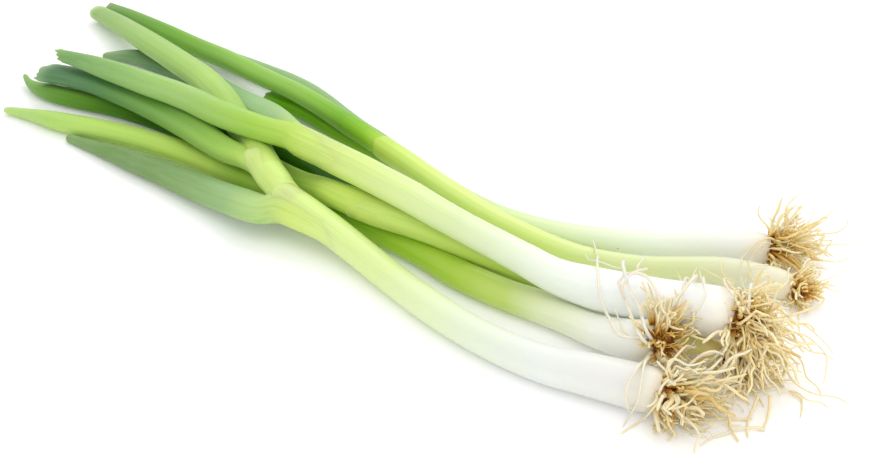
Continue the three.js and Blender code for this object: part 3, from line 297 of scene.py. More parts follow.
def tube(
    name,
    rod,
    stage0,
    sides=56,
    step=1.6,
    start=0.0,
    root_end=False,
    tip="open",
    wall=0.6,
    depth=16.0,
    lean=0.0,
    lean_to=0.0,
    rag=0.4,
    ridge=0.05,
    oval=0.02,
    dents=(),
    pinch=None,
    wrap=None,
    seed=1,
):
    """A closed tube along the rod. tip is "open" (a hollow cut end with a rim), or "point".
    dents: (angle, depth share, angular width, from s, to s), furrows along the stalk.
    pinch: (from s, how flat at the tip). wrap: (angle at s=0, turn per mm, step mm): the edge of an outer layer.
    """
    L = rod.L
    th = np.arange(sides) * 2 * math.pi / sides
    rings = []  # (s, scale, inset, kind) kind 0 outer, 1 inside
    if root_end:
        for s, k in ((0.0, 0.20), (0.12, 0.38), (0.45, 0.56), (1.0, 0.70), (1.9, 0.82), (3.1, 0.90), (4.6, 0.955), (6.2, 0.985)):
            rings.append((start + s, k, 0.0, 0))
        first = start + 8.0
    else:
        rings.append((start, 0.9, 0.0, 0))
        first = start + 1.0
    n = max(4, int(round((L - first) / step)))
    body = np.linspace(first, L, n + 1)
    if tip == "open":
        for s in body:
            rings.append((s, 1.0, 0.0, 0))
        rings.append((L + 0.12, 1.0, wall * 0.25, 0))
        rings.append((L + 0.12, 1.0, wall * 0.7, 1))
        for d in (0.3, 1.5, 4.0, 8.0, depth):
            rings.append((L - d, 1.0, wall, 1))
    else:
        for s in body[:-1]:
            rings.append((s, 1.0, 0.0, 0))
        for s, k in ((L - 0.4, 0.86), (L - 0.1, 0.6), (L, 0.3)):
            rings.append((s, k, 0.0, 0))
    R = len(rings)
    s = np.array([r[0] for r in rings])[:, None] * np.ones((1, sides))
    k = np.array([r[1] for r in rings])[:, None] * np.ones((1, sides))
    inset = np.array([r[2] for r in rings])[:, None]
    inside = np.array([r[3] for r in rings], float)[:, None] * np.ones((1, sides))
    if tip == "open":
        w = smooth(s, L - 16, L) ** 1.5
        off = lean * (np.cos(th - lean_to) - 0.0)
        for q, ph, am in waves(seed + 3, 5, 2, 13):
            off = off + rag * am * np.sin(q * th + ph) / (1 + 0.12 * q)
        s = s + w * off[None, :]
    # fine ridges that run along the stalk, and a section that isn't quite round
    f = np.ones_like(s)
    a_mean = 5.5
    grown = 0.25 + 0.75 * smooth(s + stage0, 50, 170)
    for q, ph, am in waves(seed, 7, 9, 26):
        f = f + grown * ridge / a_mean * am * 0.4 * np.sin(q * th + ph + 0.006 * s * (q % 3 - 1))
    for q, ph, am in waves(seed + 1, 3, 2, 4):
        f = f + oval * am * np.sin(q * th + ph + s / (28 + 9 * q)) * smooth(s, start + 3, start + 20)
    for q, ph, am in waves(seed + 2, 4, 3, 9):
        f = f + 0.006 * am * np.sin(s / (3.0 + q) + ph)
    for ang, deep, wide, s0, s1 in dents:
        c = (th - ang + math.pi) % (2 * math.pi) - math.pi
        g = np.exp(-((c / wide) ** 2))[None, :]
        f = f - deep * g * smooth(s, s0, s0 + 25) * (1 - smooth(s, s1 - 12, s1))
    if wrap:
        c = (th[None, :] - wrap[0] - wrap[1] * s + math.pi) % (2 * math.pi) - math.pi
        stepped = smooth(c, -0.05, 0.05) - smooth(c, 0.05, 2.6)
        f = f + wrap[2] / a_mean * stepped * smooth(s, start + 10, start + 30) * (1 - smooth(s, L - 45, L - 15))
    P, S, U = rod.get("P", s), rod.get("S", s), rod.get("U", s)
    a, b = rod.get("A", s), rod.get("B", s)
    if pinch:
        g = smooth(s, pinch[0], L)
        b = b * (1 - pinch[1] * g)
        a = a * (1 + 0.25 * pinch[1] * g)
    x = (np.maximum(a * f * k - inset, 0.05)) * np.cos(th)[None, :]
    y = (np.maximum(b * f * k - inset, 0.05)) * np.sin(th)[None, :]
    V = P + S * x[..., None] + U * y[..., None]
    V[..., 2] = np.maximum(V[..., 2], 0.02)
    verts = V.reshape(-1, 3) * MM
    rodc = np.stack([a * np.cos(th)[None, :], b * np.sin(th)[None, :], s + stage0], -1).reshape(-1, 3) * MM
    edge = (smooth(s, L - 9, L + 0.5) * (1 if tip == "open" else 1)).reshape(-1)
    stage = ((s + stage0) / 450.0).reshape(-1)
    ins = inside.reshape(-1)
    faces = []
    for i in range(R - 1):
        o, p = i * sides, (i + 1) * sides
        for j in range(sides):
            j2 = (j + 1) % sides
            faces.append((o + j2, o + j, p + j, p + j2))
    # the two end caps
    ends = []
    for ring, flip in ((0, False), (R - 1, True)):
        c = V[ring].mean(axis=0)
        if ring and tip == "point":
            c = c + rod.get("T", np.array([L]))[0] * 0.15
        ends.append(c * MM)
        at = R * sides + len(ends) - 1
        o = ring * sides
        for j in range(sides):
            j2 = (j + 1) % sides
            faces.append((o + j, o + j2, at) if not flip else (o + j2, o + j, at))
    verts = np.vstack([verts, ends])
    rodc = np.vstack([rodc, rodc[0] * [0, 0, 1], rodc[-1] * [0, 0, 1]])
    stage = np.r_[stage, stage[0], stage[-1]]
    edge = np.r_[edge, edge[0], edge[-1]]
    ins = np.r_[ins, 0.0, ins[-1]]
    ob = mesh_object(
        name,
        verts,
        faces,
        {
            "rod": ("FLOAT_VECTOR", rodc),
            "stage": ("FLOAT", stage),
            "edge": ("FLOAT", edge),
            "inner": ("FLOAT", ins),
        },
    )
    return ob


# ------------------------------------------------------------------- materials
def lin(hexa):
    c = [int(hexa[i : i + 2], 16) / 255 for i in (0, 2, 4)]
    return [v / 12.92 if v <= 0.04045 else ((v + 0.055) / 1.055) ** 2.4 for v in c] + [1.0]


class Tree:
    """A small helper that adds nodes and links to a material."""

    def __init__(self, name):
        self.mat = bpy.data.materials.new(name)
        self.mat.use_nodes = True
        self.t = self.mat.node_tree
        self.t.nodes.clear()
        self.out = self.t.nodes.new("ShaderNodeOutputMaterial")
        self.p = self.t.nodes.new("ShaderNodeBsdfPrincipled")
        self.t.links.new(self.p.outputs[0], self.out.inputs[0])

    def link(self, a, b):
        self.t.links.new(a, b)

    def attr(self, name, field="Fac"):
        n = self.t.nodes.new("ShaderNodeAttribute")
        n.attribute_name = name
        return n.outputs[field]

    def mapped(self, vector, scale):
        n = self.t.nodes.new("ShaderNodeMapping")
        n.inputs["Scale"].default_value = scale
        self.link(vector, n.inputs["Vector"])
        return n.outputs[0]

    def noise(self, vector, scale=1.0, detail=2.0, rough=0.5):
        n = self.t.nodes.new("ShaderNodeTexNoise")
        n.inputs["Scale"].default_value = scale
        n.inputs["Detail"].default_value = detail
        n.inputs["Roughness"].default_value = rough
        self.link(vector, n.inputs["Vector"])
        return n.outputs[0]

    def ramp(self, fac, stops, mode="EASE"):
        n = self.t.nodes.new("ShaderNodeValToRGB")
        r = n.color_ramp
        r.interpolation = mode
        while len(r.elements) < len(stops):
            r.elements.new(0.5)
        for e, (at, col) in zip(r.elements, stops):
            e.position = at
        for e, (at, col) in zip(r.elements, stops):
            e.color = col
        self.link(fac, n.inputs[0])
        return n.outputs[0]

    def math(self, op, a, b=None, clamp=False):
        n = self.t.nodes.new("ShaderNodeMath")
        n.operation = op
        n.use_clamp = clamp
        for i, v in enumerate((a, b)):
            if v is None:
                continue
            if isinstance(v, (int, float)):
                n.inputs[i].default_value = v
            else:
                self.link(v, n.inputs[i])
        return n.outputs[0]

    def remap(self, v, a, b, c, d):
        n = self.t.nodes.new("ShaderNodeMapRange")
        for i, x in zip((1, 2, 3, 4), (a, b, c, d)):
            n.inputs[i].default_value = x
        self.link(v, n.inputs[0])
        return n.outputs[0]

    def mix(self, fac, a, b, mode="MIX"):
        n = self.t.nodes.new("ShaderNodeMix")
        n.data_type = "RGBA"
        n.blend_type = mode
        for i, v in ((0, fac), (6, a), (7, b)):
            if isinstance(v, (int, float)):
                n.inputs[i].default_value = v
            elif isinstance(v, (list, tuple)):
                n.inputs[i].default_value = v
            else:
                self.link(v, n.inputs[i])
        return n.outputs[2]

    def bump(self, height, strength, distance, normal=None):
        n = self.t.nodes.new("ShaderNodeBump")
        n.inputs["Strength"].default_value = strength
        n.inputs["Distance"].default_value = distance
        self.link(height, n.inputs["Height"])
        if normal is not None:
            self.link(normal, n.inputs["Normal"])
        return n.outputs[0]


def skin(name, stops, wax=0.0, vein=0.5, rough=0.42, sss=0.4, coat=0.05, gloss=0.28, tip="8f9a4a", tip_amount=0.5, wax_colour="b9cfa8", wax_from=(0, 1)):
    """Onion skin: a colour that changes along the stalk (stops are millimetres from the root
    plate), fine veins along it, soft mottling, a waxy bloom, and a dry edge at the cut."""
    m = Tree(name)
    rod = m.attr("rod", "Vector")
    stage = m.attr("stage")
    edge = m.attr("edge")
    inner = m.attr("inner")
    wobble = m.noise(m.mapped(rod, (70, 70, 26)), 1.0, 2.0)
    at = m.math("ADD", stage, m.remap(wobble, 0, 1, -0.02, 0.02))
    base = m.ramp(at, [(mm / 450.0, lin(c)) for mm, c in stops], "LINEAR")
    # veins: fine and broad stripes that show more where the skin is green
    veins = m.noise(m.mapped(rod, (1700, 1700, 7)), 1.0, 3.0, 0.6)
    broad = m.noise(m.mapped(rod, (430, 430, 6)), 1.0, 2.0)
    mottle = m.noise(m.mapped(rod, (160, 160, 60)), 1.0, 3.0)
    v = m.math("ADD", m.math("MULTIPLY", veins, 0.6), m.math("MULTIPLY", broad, 0.4))
    lines = m.ramp(v, [(0.33, (1 - 0.30 * vein, 1 - 0.13 * vein, 1 - 0.40 * vein, 1)), (0.52, (1, 1, 1, 1)), (0.70, (1 + 0.05 * vein, 1 + 0.07 * vein, 1 + 0.03 * vein, 1))])
    green = m.remap(stage, 70 / 450, 180 / 450, 0.12, 1.0)
    c = m.mix(green, base, m.mix(1.0, base, lines, "MULTIPLY"))
    c = m.mix(m.math("MULTIPLY", green, m.remap(mottle, 0.35, 0.75, 0, 0.5)), c, m.mix(1.0, c, (1.05, 1.05, 0.86, 1), "MULTIPLY"))
    if wax:
        patch = m.noise(m.mapped(rod, (190, 190, 45)), 1.0, 4.0, 0.62)
        film = m.math("MULTIPLY", m.remap(patch, 0.36, 0.70, 0.3, 1.0), wax)
        film = m.math("MULTIPLY", film, m.remap(stage, wax_from[0] / 450, wax_from[1] / 450, 0, 1))
        c = m.mix(film, c, lin(wax_colour))
    c = m.mix(m.math("MULTIPLY", inner, 0.5), c, lin("dfe8b0"))
    # a few specks of soil near the roots
    cells = m.t.nodes.new("ShaderNodeTexVoronoi")
    cells.inputs["Scale"].default_value = 1.0
    m.link(m.mapped(rod, (210, 210, 120)), cells.inputs["Vector"])
    pick = m.t.nodes.new("ShaderNodeSeparateColor")
    m.link(cells.outputs["Color"], pick.inputs[0])
    few = m.math("MULTIPLY", m.math("GREATER_THAN", pick.outputs[0], 0.90), m.remap(stage, 30 / 450, 110 / 450, 1.0, 0.0))
    dot = m.math("MULTIPLY", few, m.remap(cells.outputs["Distance"], 0.035, 0.075, 0.8, 0.0))
    c = m.mix(dot, c, lin("6b5326"))
    dry = m.math("MULTIPLY", m.math("POWER", edge, 3.0), tip_amount)
    c = m.mix(dry, c, lin(tip))
    m.link(c, m.p.inputs["Base Color"])
    m.link(m.remap(mottle, 0.3, 0.7, rough - 0.05, rough + 0.07), m.p.inputs["Roughness"])
    h = m.math("MULTIPLY", m.math("ADD", m.math("MULTIPLY", veins, 0.5), m.math("MULTIPLY", broad, 0.7)), green)
    m.link(m.bump(h, 0.3, 0.00025), m.p.inputs["Normal"])
    m.p.inputs["Subsurface Weight"].default_value = sss
    m.p.inputs["Subsurface Radius"].default_value = (0.85, 1.0, 0.3)
    m.p.inputs["Subsurface Scale"].default_value = 0.004
    m.p.inputs["Specular IOR Level"].default_value = gloss
    m.p.inputs["Coat Weight"].default_value = coat
    m.p.inputs["Coat Roughness"].default_value = 0.22
    return m.mat


def root_skin(name, base_c, gold_c, mid_c, tip_c):
    """Dried root: brown where it leaves the plate, golden for a few millimetres, then pale. The brown base is partly
    the root's own colour and partly painted shade of the tuft's deep core; strands with a low tone value are darker and
    more orange as painted shade.
    """
    m = Tree(name)
    along = m.attr("along")
    tone_and_painted_shade = m.attr("tone_and_painted_shade")
    pos = m.attr("rod", "Vector")
    patch = m.noise(m.mapped(pos, (260, 260, 260)), 1.0, 3.0)
    # painted shade: a low tone value keeps a strand brown and golden further from the plate
    at = m.math("ADD", m.math("MULTIPLY", along, m.remap(tone_and_painted_shade, 0, 1, 0.9, 3.0)), m.remap(patch, 0, 1, -0.07, 0.07))
    c = m.ramp(at, [(0.0, lin(base_c)), (0.04, lin("a2661a")), (0.11, lin(gold_c)), (0.27, lin(mid_c)), (0.6, lin(tip_c)), (1.0, lin(tip_c))], "LINEAR")
    # painted shade: low tone values (strands seated in the middle of the plate, fine rootlets) are darker and more
    # orange; high values are pale and neutral
    shade = m.ramp(tone_and_painted_shade, [(0.0, (0.80, 0.66, 0.36, 1)), (0.25, (0.92, 0.83, 0.60, 1)), (0.6, (0.98, 0.95, 0.88, 1)), (1.0, (1.0, 1.0, 1.03, 1))], "LINEAR")
    c = m.mix(1.0, c, shade, "MULTIPLY")
    fine = m.noise(m.mapped(pos, (1400, 1400, 1400)), 1.0, 2.0)
    c = m.mix(m.remap(fine, 0.5, 0.85, 0, 0.35), c, lin(mid_c), "MULTIPLY")
    m.link(c, m.p.inputs["Base Color"])
    m.p.inputs["Roughness"].default_value = 0.48
    m.link(m.bump(fine, 0.4, 0.0002), m.p.inputs["Normal"])
    m.p.inputs["Subsurface Weight"].default_value = 0.35
    m.p.inputs["Subsurface Radius"].default_value = (1.0, 0.55, 0.12)
    m.p.inputs["Subsurface Scale"].default_value = 0.0016
    m.p.inputs["Specular IOR Level"].default_value = 0.5
    return m.mat


def soil(name):
    m = Tree(name)
    c = m.t.nodes.new("ShaderNodeTexCoord").outputs["Object"]
    a = m.noise(m.mapped(c, (420, 420, 420)), 1.0, 4.0, 0.65)
    col = m.ramp(a, [(0.3, lin("4a2406")), (0.52, lin("8a5518")), (0.75, lin("c09040"))])
    m.link(col, m.p.inputs["Base Color"])
    m.p.inputs["Roughness"].default_value = 0.85
    m.link(m.bump(a, 0.9, 0.0006), m.p.inputs["Normal"])
    return m.mat


# --------------------------------------------------------------------- stalks
UPWARD, FAR, NEAR, DOWN = math.pi / 2, 0.0, math.pi, -math.pi / 2


def put(ob, material, node, name=None):
    ob.data.materials.append(material)
    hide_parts(node)
    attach(ob, "root")
    return ob


# The middles of onions 2 and 3 swell a little where they press together.
for r in STALKS["onion_2_stem"]:
    if 25 < r[0] < 130:
        r[1] += 0.6
        r[3] += 0.8 + 0.35 * math.exp(-(((r[0] - 110) / 14) ** 2))
        r[4] += 0.2
for r in STALKS["onion_3_stem"]:
    if 45 < r[0] < 140:
        w = math.exp(-(((r[0] - 104) / 22) ** 2))
        r[1] -= 1.3 * w
        r[2] -= 1.4 * w
        r[3] += 0.35 + 0.2 * w
for r in STALKS["onion_3_stem"][-2:]:
    r[1] += 0.8
    r[3] += 0.9
for r in STALKS["onion_3_leaf_1"][:3]:
    r[1] += 1.0
    r[3] += 1.6

shaft = {i: Rod(STALKS["onion_%d_stem" % i]) for i in range(1, 7)}
LEN = {i: shaft[i].L for i in shaft}
e, d, f, c, b, a = (shaft[i] for i in (1, 2, 3, 4, 5, 6))
E, D, F, C, B, A = (LEN[i] for i in (1, 2, 3, 4, 5, 6))

# Colours along each shaft, in millimetres from the root plate.
TONES = {
    1: [(0, "e8dec2"), (5, "e5e2d6"), (12, "e3e2dd"), (40, "e4e7e3"), (62, "e1e8d5"), (90, "dfebbe"), (115, "dbeaa6"), (140, "d9eb9c"), (165, "d2e88c"), (190, "cee888")],
    2: [(0, "f4e8c4"), (6, "fbfaf2"), (24, "f6f8ec"), (45, "e3e9c4"), (62, "c3d774"), (85, "b2d04c"), (112, "a8ce34"), (140, "90be20"), (165, "9cc640")],
    3: [(0, "ffe68e"), (6, "fff0a4"), (20, "fff4b0"), (34, "ecf0bc"), (60, "d3e298"), (90, "c6de68"), (135, "cae076"), (160, "c6de70")],
    4: [(0, "f2e8c8"), (5, "f4f1e8"), (14, "f6f8f8"), (45, "f0f4f1"), (75, "e6edda"), (105, "dae8b4"), (135, "daeaa2"), (160, "d2e488"), (185, "c6dc76"), (212, "b2d060")],
    5: [(0, "e8dcba"), (6, "e7e2cb"), (20, "e0e1c4"), (40, "dae1ae"), (62, "dbe6aa"), (90, "daeb92"), (140, "daee8c"), (158, "d2ea7c"), (172, "cae868"), (184, "c0e252")],
    6: [(0, "e8dec2"), (6, "ede9e0"), (14, "ebebe6"), (40, "ebf0e4"), (70, "dfeac6"), (100, "d1e4a6"), (135, "bedb80"), (165, "a5cb62")],
}
names = {1: "front", 2: "middle", 3: "yellow", 4: "top", 5: "bright", 6: "back"}
vein_of = {1: 0.5, 2: 0.75, 3: 0.85, 4: 0.5, 5: 0.55, 6: 0.45}
skins = {i: skin("shaft_" + names[i], TONES[i], vein=vein_of[i], rough=0.35, gloss=0.36, coat=0.12, tip={1: "d6ec92", 2: "a8cc58", 3: "cfe484", 4: "c6e480", 5: "c2e062", 6: "b4d47c"}[i], tip_amount=0.35) for i in TONES}
skins["sheath"] = skin("sheath_inner", [(0, "cfe388"), (190, "cee484"), (212, "d4e690"), (232, "d2ea92")], vein=0.5, tip="dcee9c", tip_amount=0.3)
for key, scale in (("sheath", 0.0012), (5, 0.0015), (3, 0.002)):
    skins[key].node_tree.nodes["Principled BSDF"].inputs["Subsurface Scale"].default_value = scale


def blade(onion, name, fork, stops, **kw):
    """A leaf's skin: its onion's colours up to the fork, then its own. Stops after the fork are
    millimetres beyond it."""
    low = [(mm, col) for mm, col in TONES[onion] if mm < fork - 12]
    kw.setdefault("coat", 0.03)
    kw.setdefault("gloss", 0.18)
    return skin("blade_" + name, low[-4:] + [(fork + mm, col) for mm, col in stops], wax_from=(fork - 4, fork + 22), **kw)


blades = {
    "onion_1_leaf_1": blade(1, "waxy_broad", E, [(-12, "cde07c"), (6, "b2ce84"), (22, "92b478"), (50, "7ea05e"), (75, "698c44"), (110, "6e924c"), (150, "789c60")], wax=0.26, vein=0.6, rough=0.5, wax_colour="b4c8aa"),
    "onion_1_leaf_2": blade(1, "blue", E + 40, [(-30, "cfe486"), (-6, "bcd870"), (10, "98c054"), (40, "82ae48"), (75, "6a9a44"), (100, "568650"), (125, "5a825e"), (150, "648a70")], wax=0.12, vein=0.6, rough=0.5, wax_colour="9dbb98", tip="a9bf98", tip_amount=0.45),
    # the darker greens 7 to 20 mm past the fork are painted shadow cast by the top onion; the pale-to-green change
    # around them is the leaf's own
    "onion_1_leaf_3": blade(1, "light", E + 40, [(-30, "cee484"), (-4, "bed870"), (7, "9cbe4c"), (20, "90b440"), (36, "a2c65c"), (70, "aed06e"), (120, "a2c66e"), (170, "96ba68"), (215, "92b66a"), (235, "b0cc90")], wax=0.10, vein=0.55, tip="d6e6b4", tip_amount=0.5),
    # the darker stop 30 mm past the fork is painted shadow where another stalk crosses over this leaf
    "onion_2_leaf_1": blade(2, "yellow", D, [(-10, "98c23c"), (12, "a2c646"), (30, "94ba3c"), (50, "bcda60"), (100, "bcdc6c"), (140, "b2d472"), (185, "b6d48c")], wax=0.05, vein=0.5, tip="c9d9a0"),
    # dark green all along: the leaf's own dark green deepened with painted shade, for the dark gap it lies in under the
    # other stalks
    "onion_3_leaf_1": blade(3, "deep", F, [(-10, "a8c85c"), (10, "34620c"), (40, "285204"), (120, "366c12")], wax=0.0, gloss=0.04, coat=0.0, vein=0.5, wax_colour="88a878"),
    # dark green middle, 80 to 135 mm past the fork: the leaf's own dark green deepened with painted shade where it lies
    # under leaves of the front and top onions
    "onion_3_leaf_2": blade(3, "dark", F, [(-10, "c8de70"), (12, "c4dc6c"), (40, "a4c65a"), (80, "4a7814"), (110, "3c6c0e"), (135, "3f7010"), (180, "6a983a"), (215, "90b476")], wax=0.0, gloss=0.05, coat=0.0, vein=0.6, tip="7d9c52", wax_colour="a5bf98"),
    "onion_4_leaf_1": blade(4, "main", C, [(-14, "b6d462"), (8, "a2ca4e"), (35, "9ac25a"), (65, "9cc468"), (100, "84b060"), (125, "70a054"), (150, "6e9a56")], wax=0.18, vein=0.6, rough=0.47, wax_colour="c2d6b4", tip="8fb06a"),
    "onion_4_leaf_2": blade(4, "glaucous", C, [(-10, "b2d070"), (15, "9ec07e"), (60, "8eb674"), (100, "6f9c5c"), (135, "5c8650"), (170, "84a274")], wax=0.24, vein=0.5, rough=0.52, wax_colour="b2ccae"),
    "onion_5_leaf_1": blade(5, "bright", B, [(-10, "c6de58"), (1, "aed248"), (9, "8abe28"), (24, "78b01e"), (60, "90be4a"), (120, "90be52"), (165, "7aae38"), (200, "72a440"), (228, "76a052"), (245, "8aa278")], wax=0.06, vein=0.6, tip="8a9a7a", tip_amount=0.7, wax_colour="b4cf9c"),
    "onion_6_leaf_1": blade(6, "grass", A, [(-10, "a5cb62"), (8, "b2d868"), (28, "98c840"), (60, "74b00c"), (90, "6aaa08"), (130, "84b860")], wax=0.0, gloss=0.1, vein=0.5),
    "onion_6_leaf_2": blade(6, "grey", A, [(-10, "a5cb62"), (10, "92bc64"), (50, "88ae6e"), (110, "86ae6e"), (160, "8cb478")], wax=0.20, vein=0.5, rough=0.52, wax_colour="b6caa8"),
}

shaft_look = {
    1: dict(lean=1.5, lean_to=UPWARD + 0.7, wrap=(0.9, -0.004, 0.14), trim=0, seed=11),
    2: dict(lean=2.0, lean_to=NEAR, wrap=(2.4, 0.006, 0.2), trim=0, seed=23),
    3: dict(lean=2.0, lean_to=FAR, wrap=(1.2, 0.012, 0.22), trim=0, seed=37),
    4: dict(lean=5.0, lean_to=FAR + 0.3, wrap=(2.2, 0.003, 0.14), trim=9, seed=41),
    5: dict(lean=2.4, lean_to=UPWARD + 0.4, wrap=(1.0, 0.004, 0.18), trim=0, seed=53),
    6: dict(lean=2.0, lean_to=UPWARD, wrap=(0.7, 0.005, 0.16), trim=0, seed=61),
}
for i, look in shaft_look.items():
    look = dict(look)
    rod = Rod(STALKS["onion_%d_stem" % i])
    rod.L -= look.pop("trim")
    ob = tube("onion_%d_shaft" % i, rod, 0.0, sides=72, step=1.5, root_end=True, wall=0.5, depth=4.5, rag=0.3, ridge=0.045, oval=0.012, **look)
    put(ob, skins[i], "onion_%d_stem" % i)


def table(name, first=1, last=None):
    return [list(r) for r in STALKS[name][first:last]]


def leaf(name, onion, rows, **kw):
    """A leaf that starts inside its sheath: its lead stations, then the table's."""
    rod = Rod(rows)
    st = shaft[onion]
    d0 = np.linalg.norm(st.P - np.array(rows[0][:3]), axis=1)
    stage0 = float(st.s[int(np.argmin(d0))])
    ob = tube(name.replace("leaf", "blade"), rod, stage0, **kw)
    return put(ob, blades[name], name)


# the front onion: the broad waxy outer leaf, then an inner sheath that carries two more
leaf("onion_1_leaf_1", 1, [e.row(E - 48, 0.80), e.row(E - 34, 0.92, -0.1), e.row(E - 22, 0.985, -0.4, -0.1), e.row(E - 11, 1.03, -1.7, -1.0), e.row(E - 2, 1.06, -3.2, -2.4), [6.2, -54.2, 10.2, 8.1, 4.8], [-8.2, -52.6, 7.5, 8.3, 4.8], [-22.8, -51.6, 5.7, 8.0, 4.7], [-37.8, -50.8, 4.8, 7.4, 4.6]] + table("onion_1_leaf_1", 5),
     tip="point", dents=((UPWARD + 0.5, 0.10, 0.5, 60, 150), (DOWN, 0.12, 0.6, 40, 160)), seed=101)
SHEATH_2 = [e.row(E - 16, 0.92), e.row(E - 4, 0.93, 0.1), [2.8, -42.6, 15.5, 5.85, 5.3], [-2.3, -40.4, 15.6, 5.9, 5.25], [-8.8, -36.8, 15.8, 6.0, 5.2], [-12.0, -35.0, 16, 6.2, 5.2], [-15.4, -33.2, 16.0, 6.4, 5.25]]
rod2 = Rod(SHEATH_2)
ob = tube("onion_1_inner_sheath", rod2, E - 16, sides=64, step=1.2, wall=0.45, depth=4, lean=3.2, lean_to=NEAR - 0.2, rag=0.5, ridge=0.04, seed=77)
put(ob, skins["sheath"], "onion_1_stem")
leaf("onion_1_leaf_3", 1, [rod2.row(4, 0.86, 0.2), rod2.row(16, 0.90, 0.4), rod2.row(27, 0.98, 0.45, 0.2), rod2.row(36, 1.0, 0.6, 0.3), [-21.6, -28.6, 16.1, 6.0, 5.3], [-30.2, -23.2, 15.4, 6.0, 5.3]] + table("onion_1_leaf_3", 4),
     pinch=(200, 0.15), dents=((UPWARD - 0.3, 0.07, 0.35, 60, 230),), lean=0.7, lean_to=UPWARD, rag=0.5, seed=103)
leaf("onion_1_leaf_2", 1, [rod2.row(4, 0.5, -0.6), rod2.row(18, 0.55, -1.0, -0.3), rod2.row(30, 0.58, -1.2, -0.5), rod2.row(38, 0.62, -1.4, -0.6), [-20.8, -34.8, 15.0, 4.6, 4.0], [-30.8, -35.9, 15.9, 5.4, 4.6], [-41.4, -34.2, 15.9, 5.7, 4.8]] + table("onion_1_leaf_2", 5, -2)
     + [[-142.6, -24.2, 12.3, 6.1, 4.6], [-157, -26.7, 11.3, 6.4, 4.5]],
     pinch=(150, 0.2), dents=((UPWARD + 0.4, 0.08, 0.4, 50, 170),), lean=1.6, lean_to=NEAR, rag=0.8, seed=107)

# the one beside it: a single bright leaf
leaf("onion_2_leaf_1", 2, [d.row(D - 40, 0.86), d.row(D - 24, 0.97), d.row(D - 9, 1.02, 0, 0.1)] + table("onion_2_leaf_1", 1, -3)
     + [[-128.6, -47.2, 3.9, 4.4, 3.8], [-136, -48.3, 3.6, 3.3, 3.2], [-143, -49.4, 3.1, 2.4, 2.6], [-150, -50.6, 2.6, 1.9, 2.1], [-156.9, -51.9, 2.0, 1.4, 1.5]],
     tip="point", dents=((UPWARD, 0.07, 0.4, 60, 160),), seed=113)

# the yellow-based one
leaf("onion_3_leaf_2", 3, [f.row(F - 40, 0.86), f.row(F - 24, 0.97), f.row(F - 9, 1.02, 0, 0.1)] + table("onion_3_leaf_2", 1, -3)
     + [[-147, -28.9, 3.9, 5.0, 3.8], [-156, -29.6, 3.5, 4.6, 3.4], [-163.5, -29.6, 3.2, 3.3, 2.6], [-170.5, -28.4, 3.3, 1.8, 1.7], [-177, -25.8, 4.2, 1.0, 1.0]],
     tip="point", dents=((UPWARD + 0.3, 0.08, 0.4, 70, 200),), seed=127)
leaf("onion_3_leaf_1", 3, [f.row(F - 16, 0.6), f.row(F - 3, 0.66, 1.0, -0.3)] + table("onion_3_leaf_1", 1), pinch=(80, 0.2), lean=1.0, rag=0.6, seed=131)

# the one on top
leaf("onion_4_leaf_1", 4, [c.row(C - 56, 0.86), c.row(C - 42, 0.97, -0.15), c.row(C - 29, 1.0, -0.5, 0.1), c.row(C - 17, 1.0, -1.6, 0.4), [-5.5, -24.9, 26.0, 5.75, 5.2]] + table("onion_4_leaf_1", 1),
     pinch=(140, 0.3), dents=((UPWARD - 0.5, 0.10, 0.35, 40, 185), (UPWARD + 0.9, 0.06, 0.4, 60, 185)), lean=3.4, lean_to=UPWARD - 0.7, rag=0.9, seed=137)
leaf("onion_4_leaf_2", 4, [c.row(C - 34, 0.6, 0.4), c.row(C - 20, 0.72, 1.0), c.row(C - 7, 0.84, 1.3, 0.1)] + table("onion_4_leaf_2", 1), tip="point", dents=((UPWARD, 0.08, 0.5, 40, 150),), seed=139)

# the two at the back
leaf("onion_5_leaf_1", 5, [b.row(B - 22, 0.84), b.row(B - 8, 0.93)] + table("onion_5_leaf_1", 1), pinch=(200, 0.25), dents=((UPWARD + 0.6, 0.06, 0.35, 40, 240),), lean=1.0, rag=0.5, seed=149)
leaf("onion_6_leaf_2", 6, [a.row(A - 38, 0.86), a.row(A - 22, 0.97), a.row(A - 8, 1.02, 0.3, 0)] + table("onion_6_leaf_2", 1), pinch=(120, 0.25), lean=1.0, rag=0.6, seed=151)
leaf("onion_6_leaf_1", 6, [a.row(A - 16, 0.6), a.row(A - 4, 0.66, -1.0, 0.4)] + table("onion_6_leaf_1", 1), pinch=(80, 0.25), lean=1.0, rag=0.6, seed=157)


# ---------------------------------------------------------------------- roots
RIGHT = np.array([0.776, 0.631, 0.0])   # across the bunch's root end
TOWARD = np.array([0.631, -0.776, 0.0])
UPZ = np.array([0.0, 0.0, 1.0])
TOP = 42.0                                # no root stands higher than this

ball_c, ball_r, ball_own = [], [], []
for i in shaft:
    st = shaft[i]
    for s in np.arange(0.5, st.L, 1.5):
        ball_c.append(st.get("P", s))
        k = 0.62 + 0.38 * min(1.0, s / 4.0)
        ball_r.append(float(st.get("A", s)) * k)
        ball_own.append(i)
ball_c, ball_r = np.array(ball_c), np.array(ball_r)


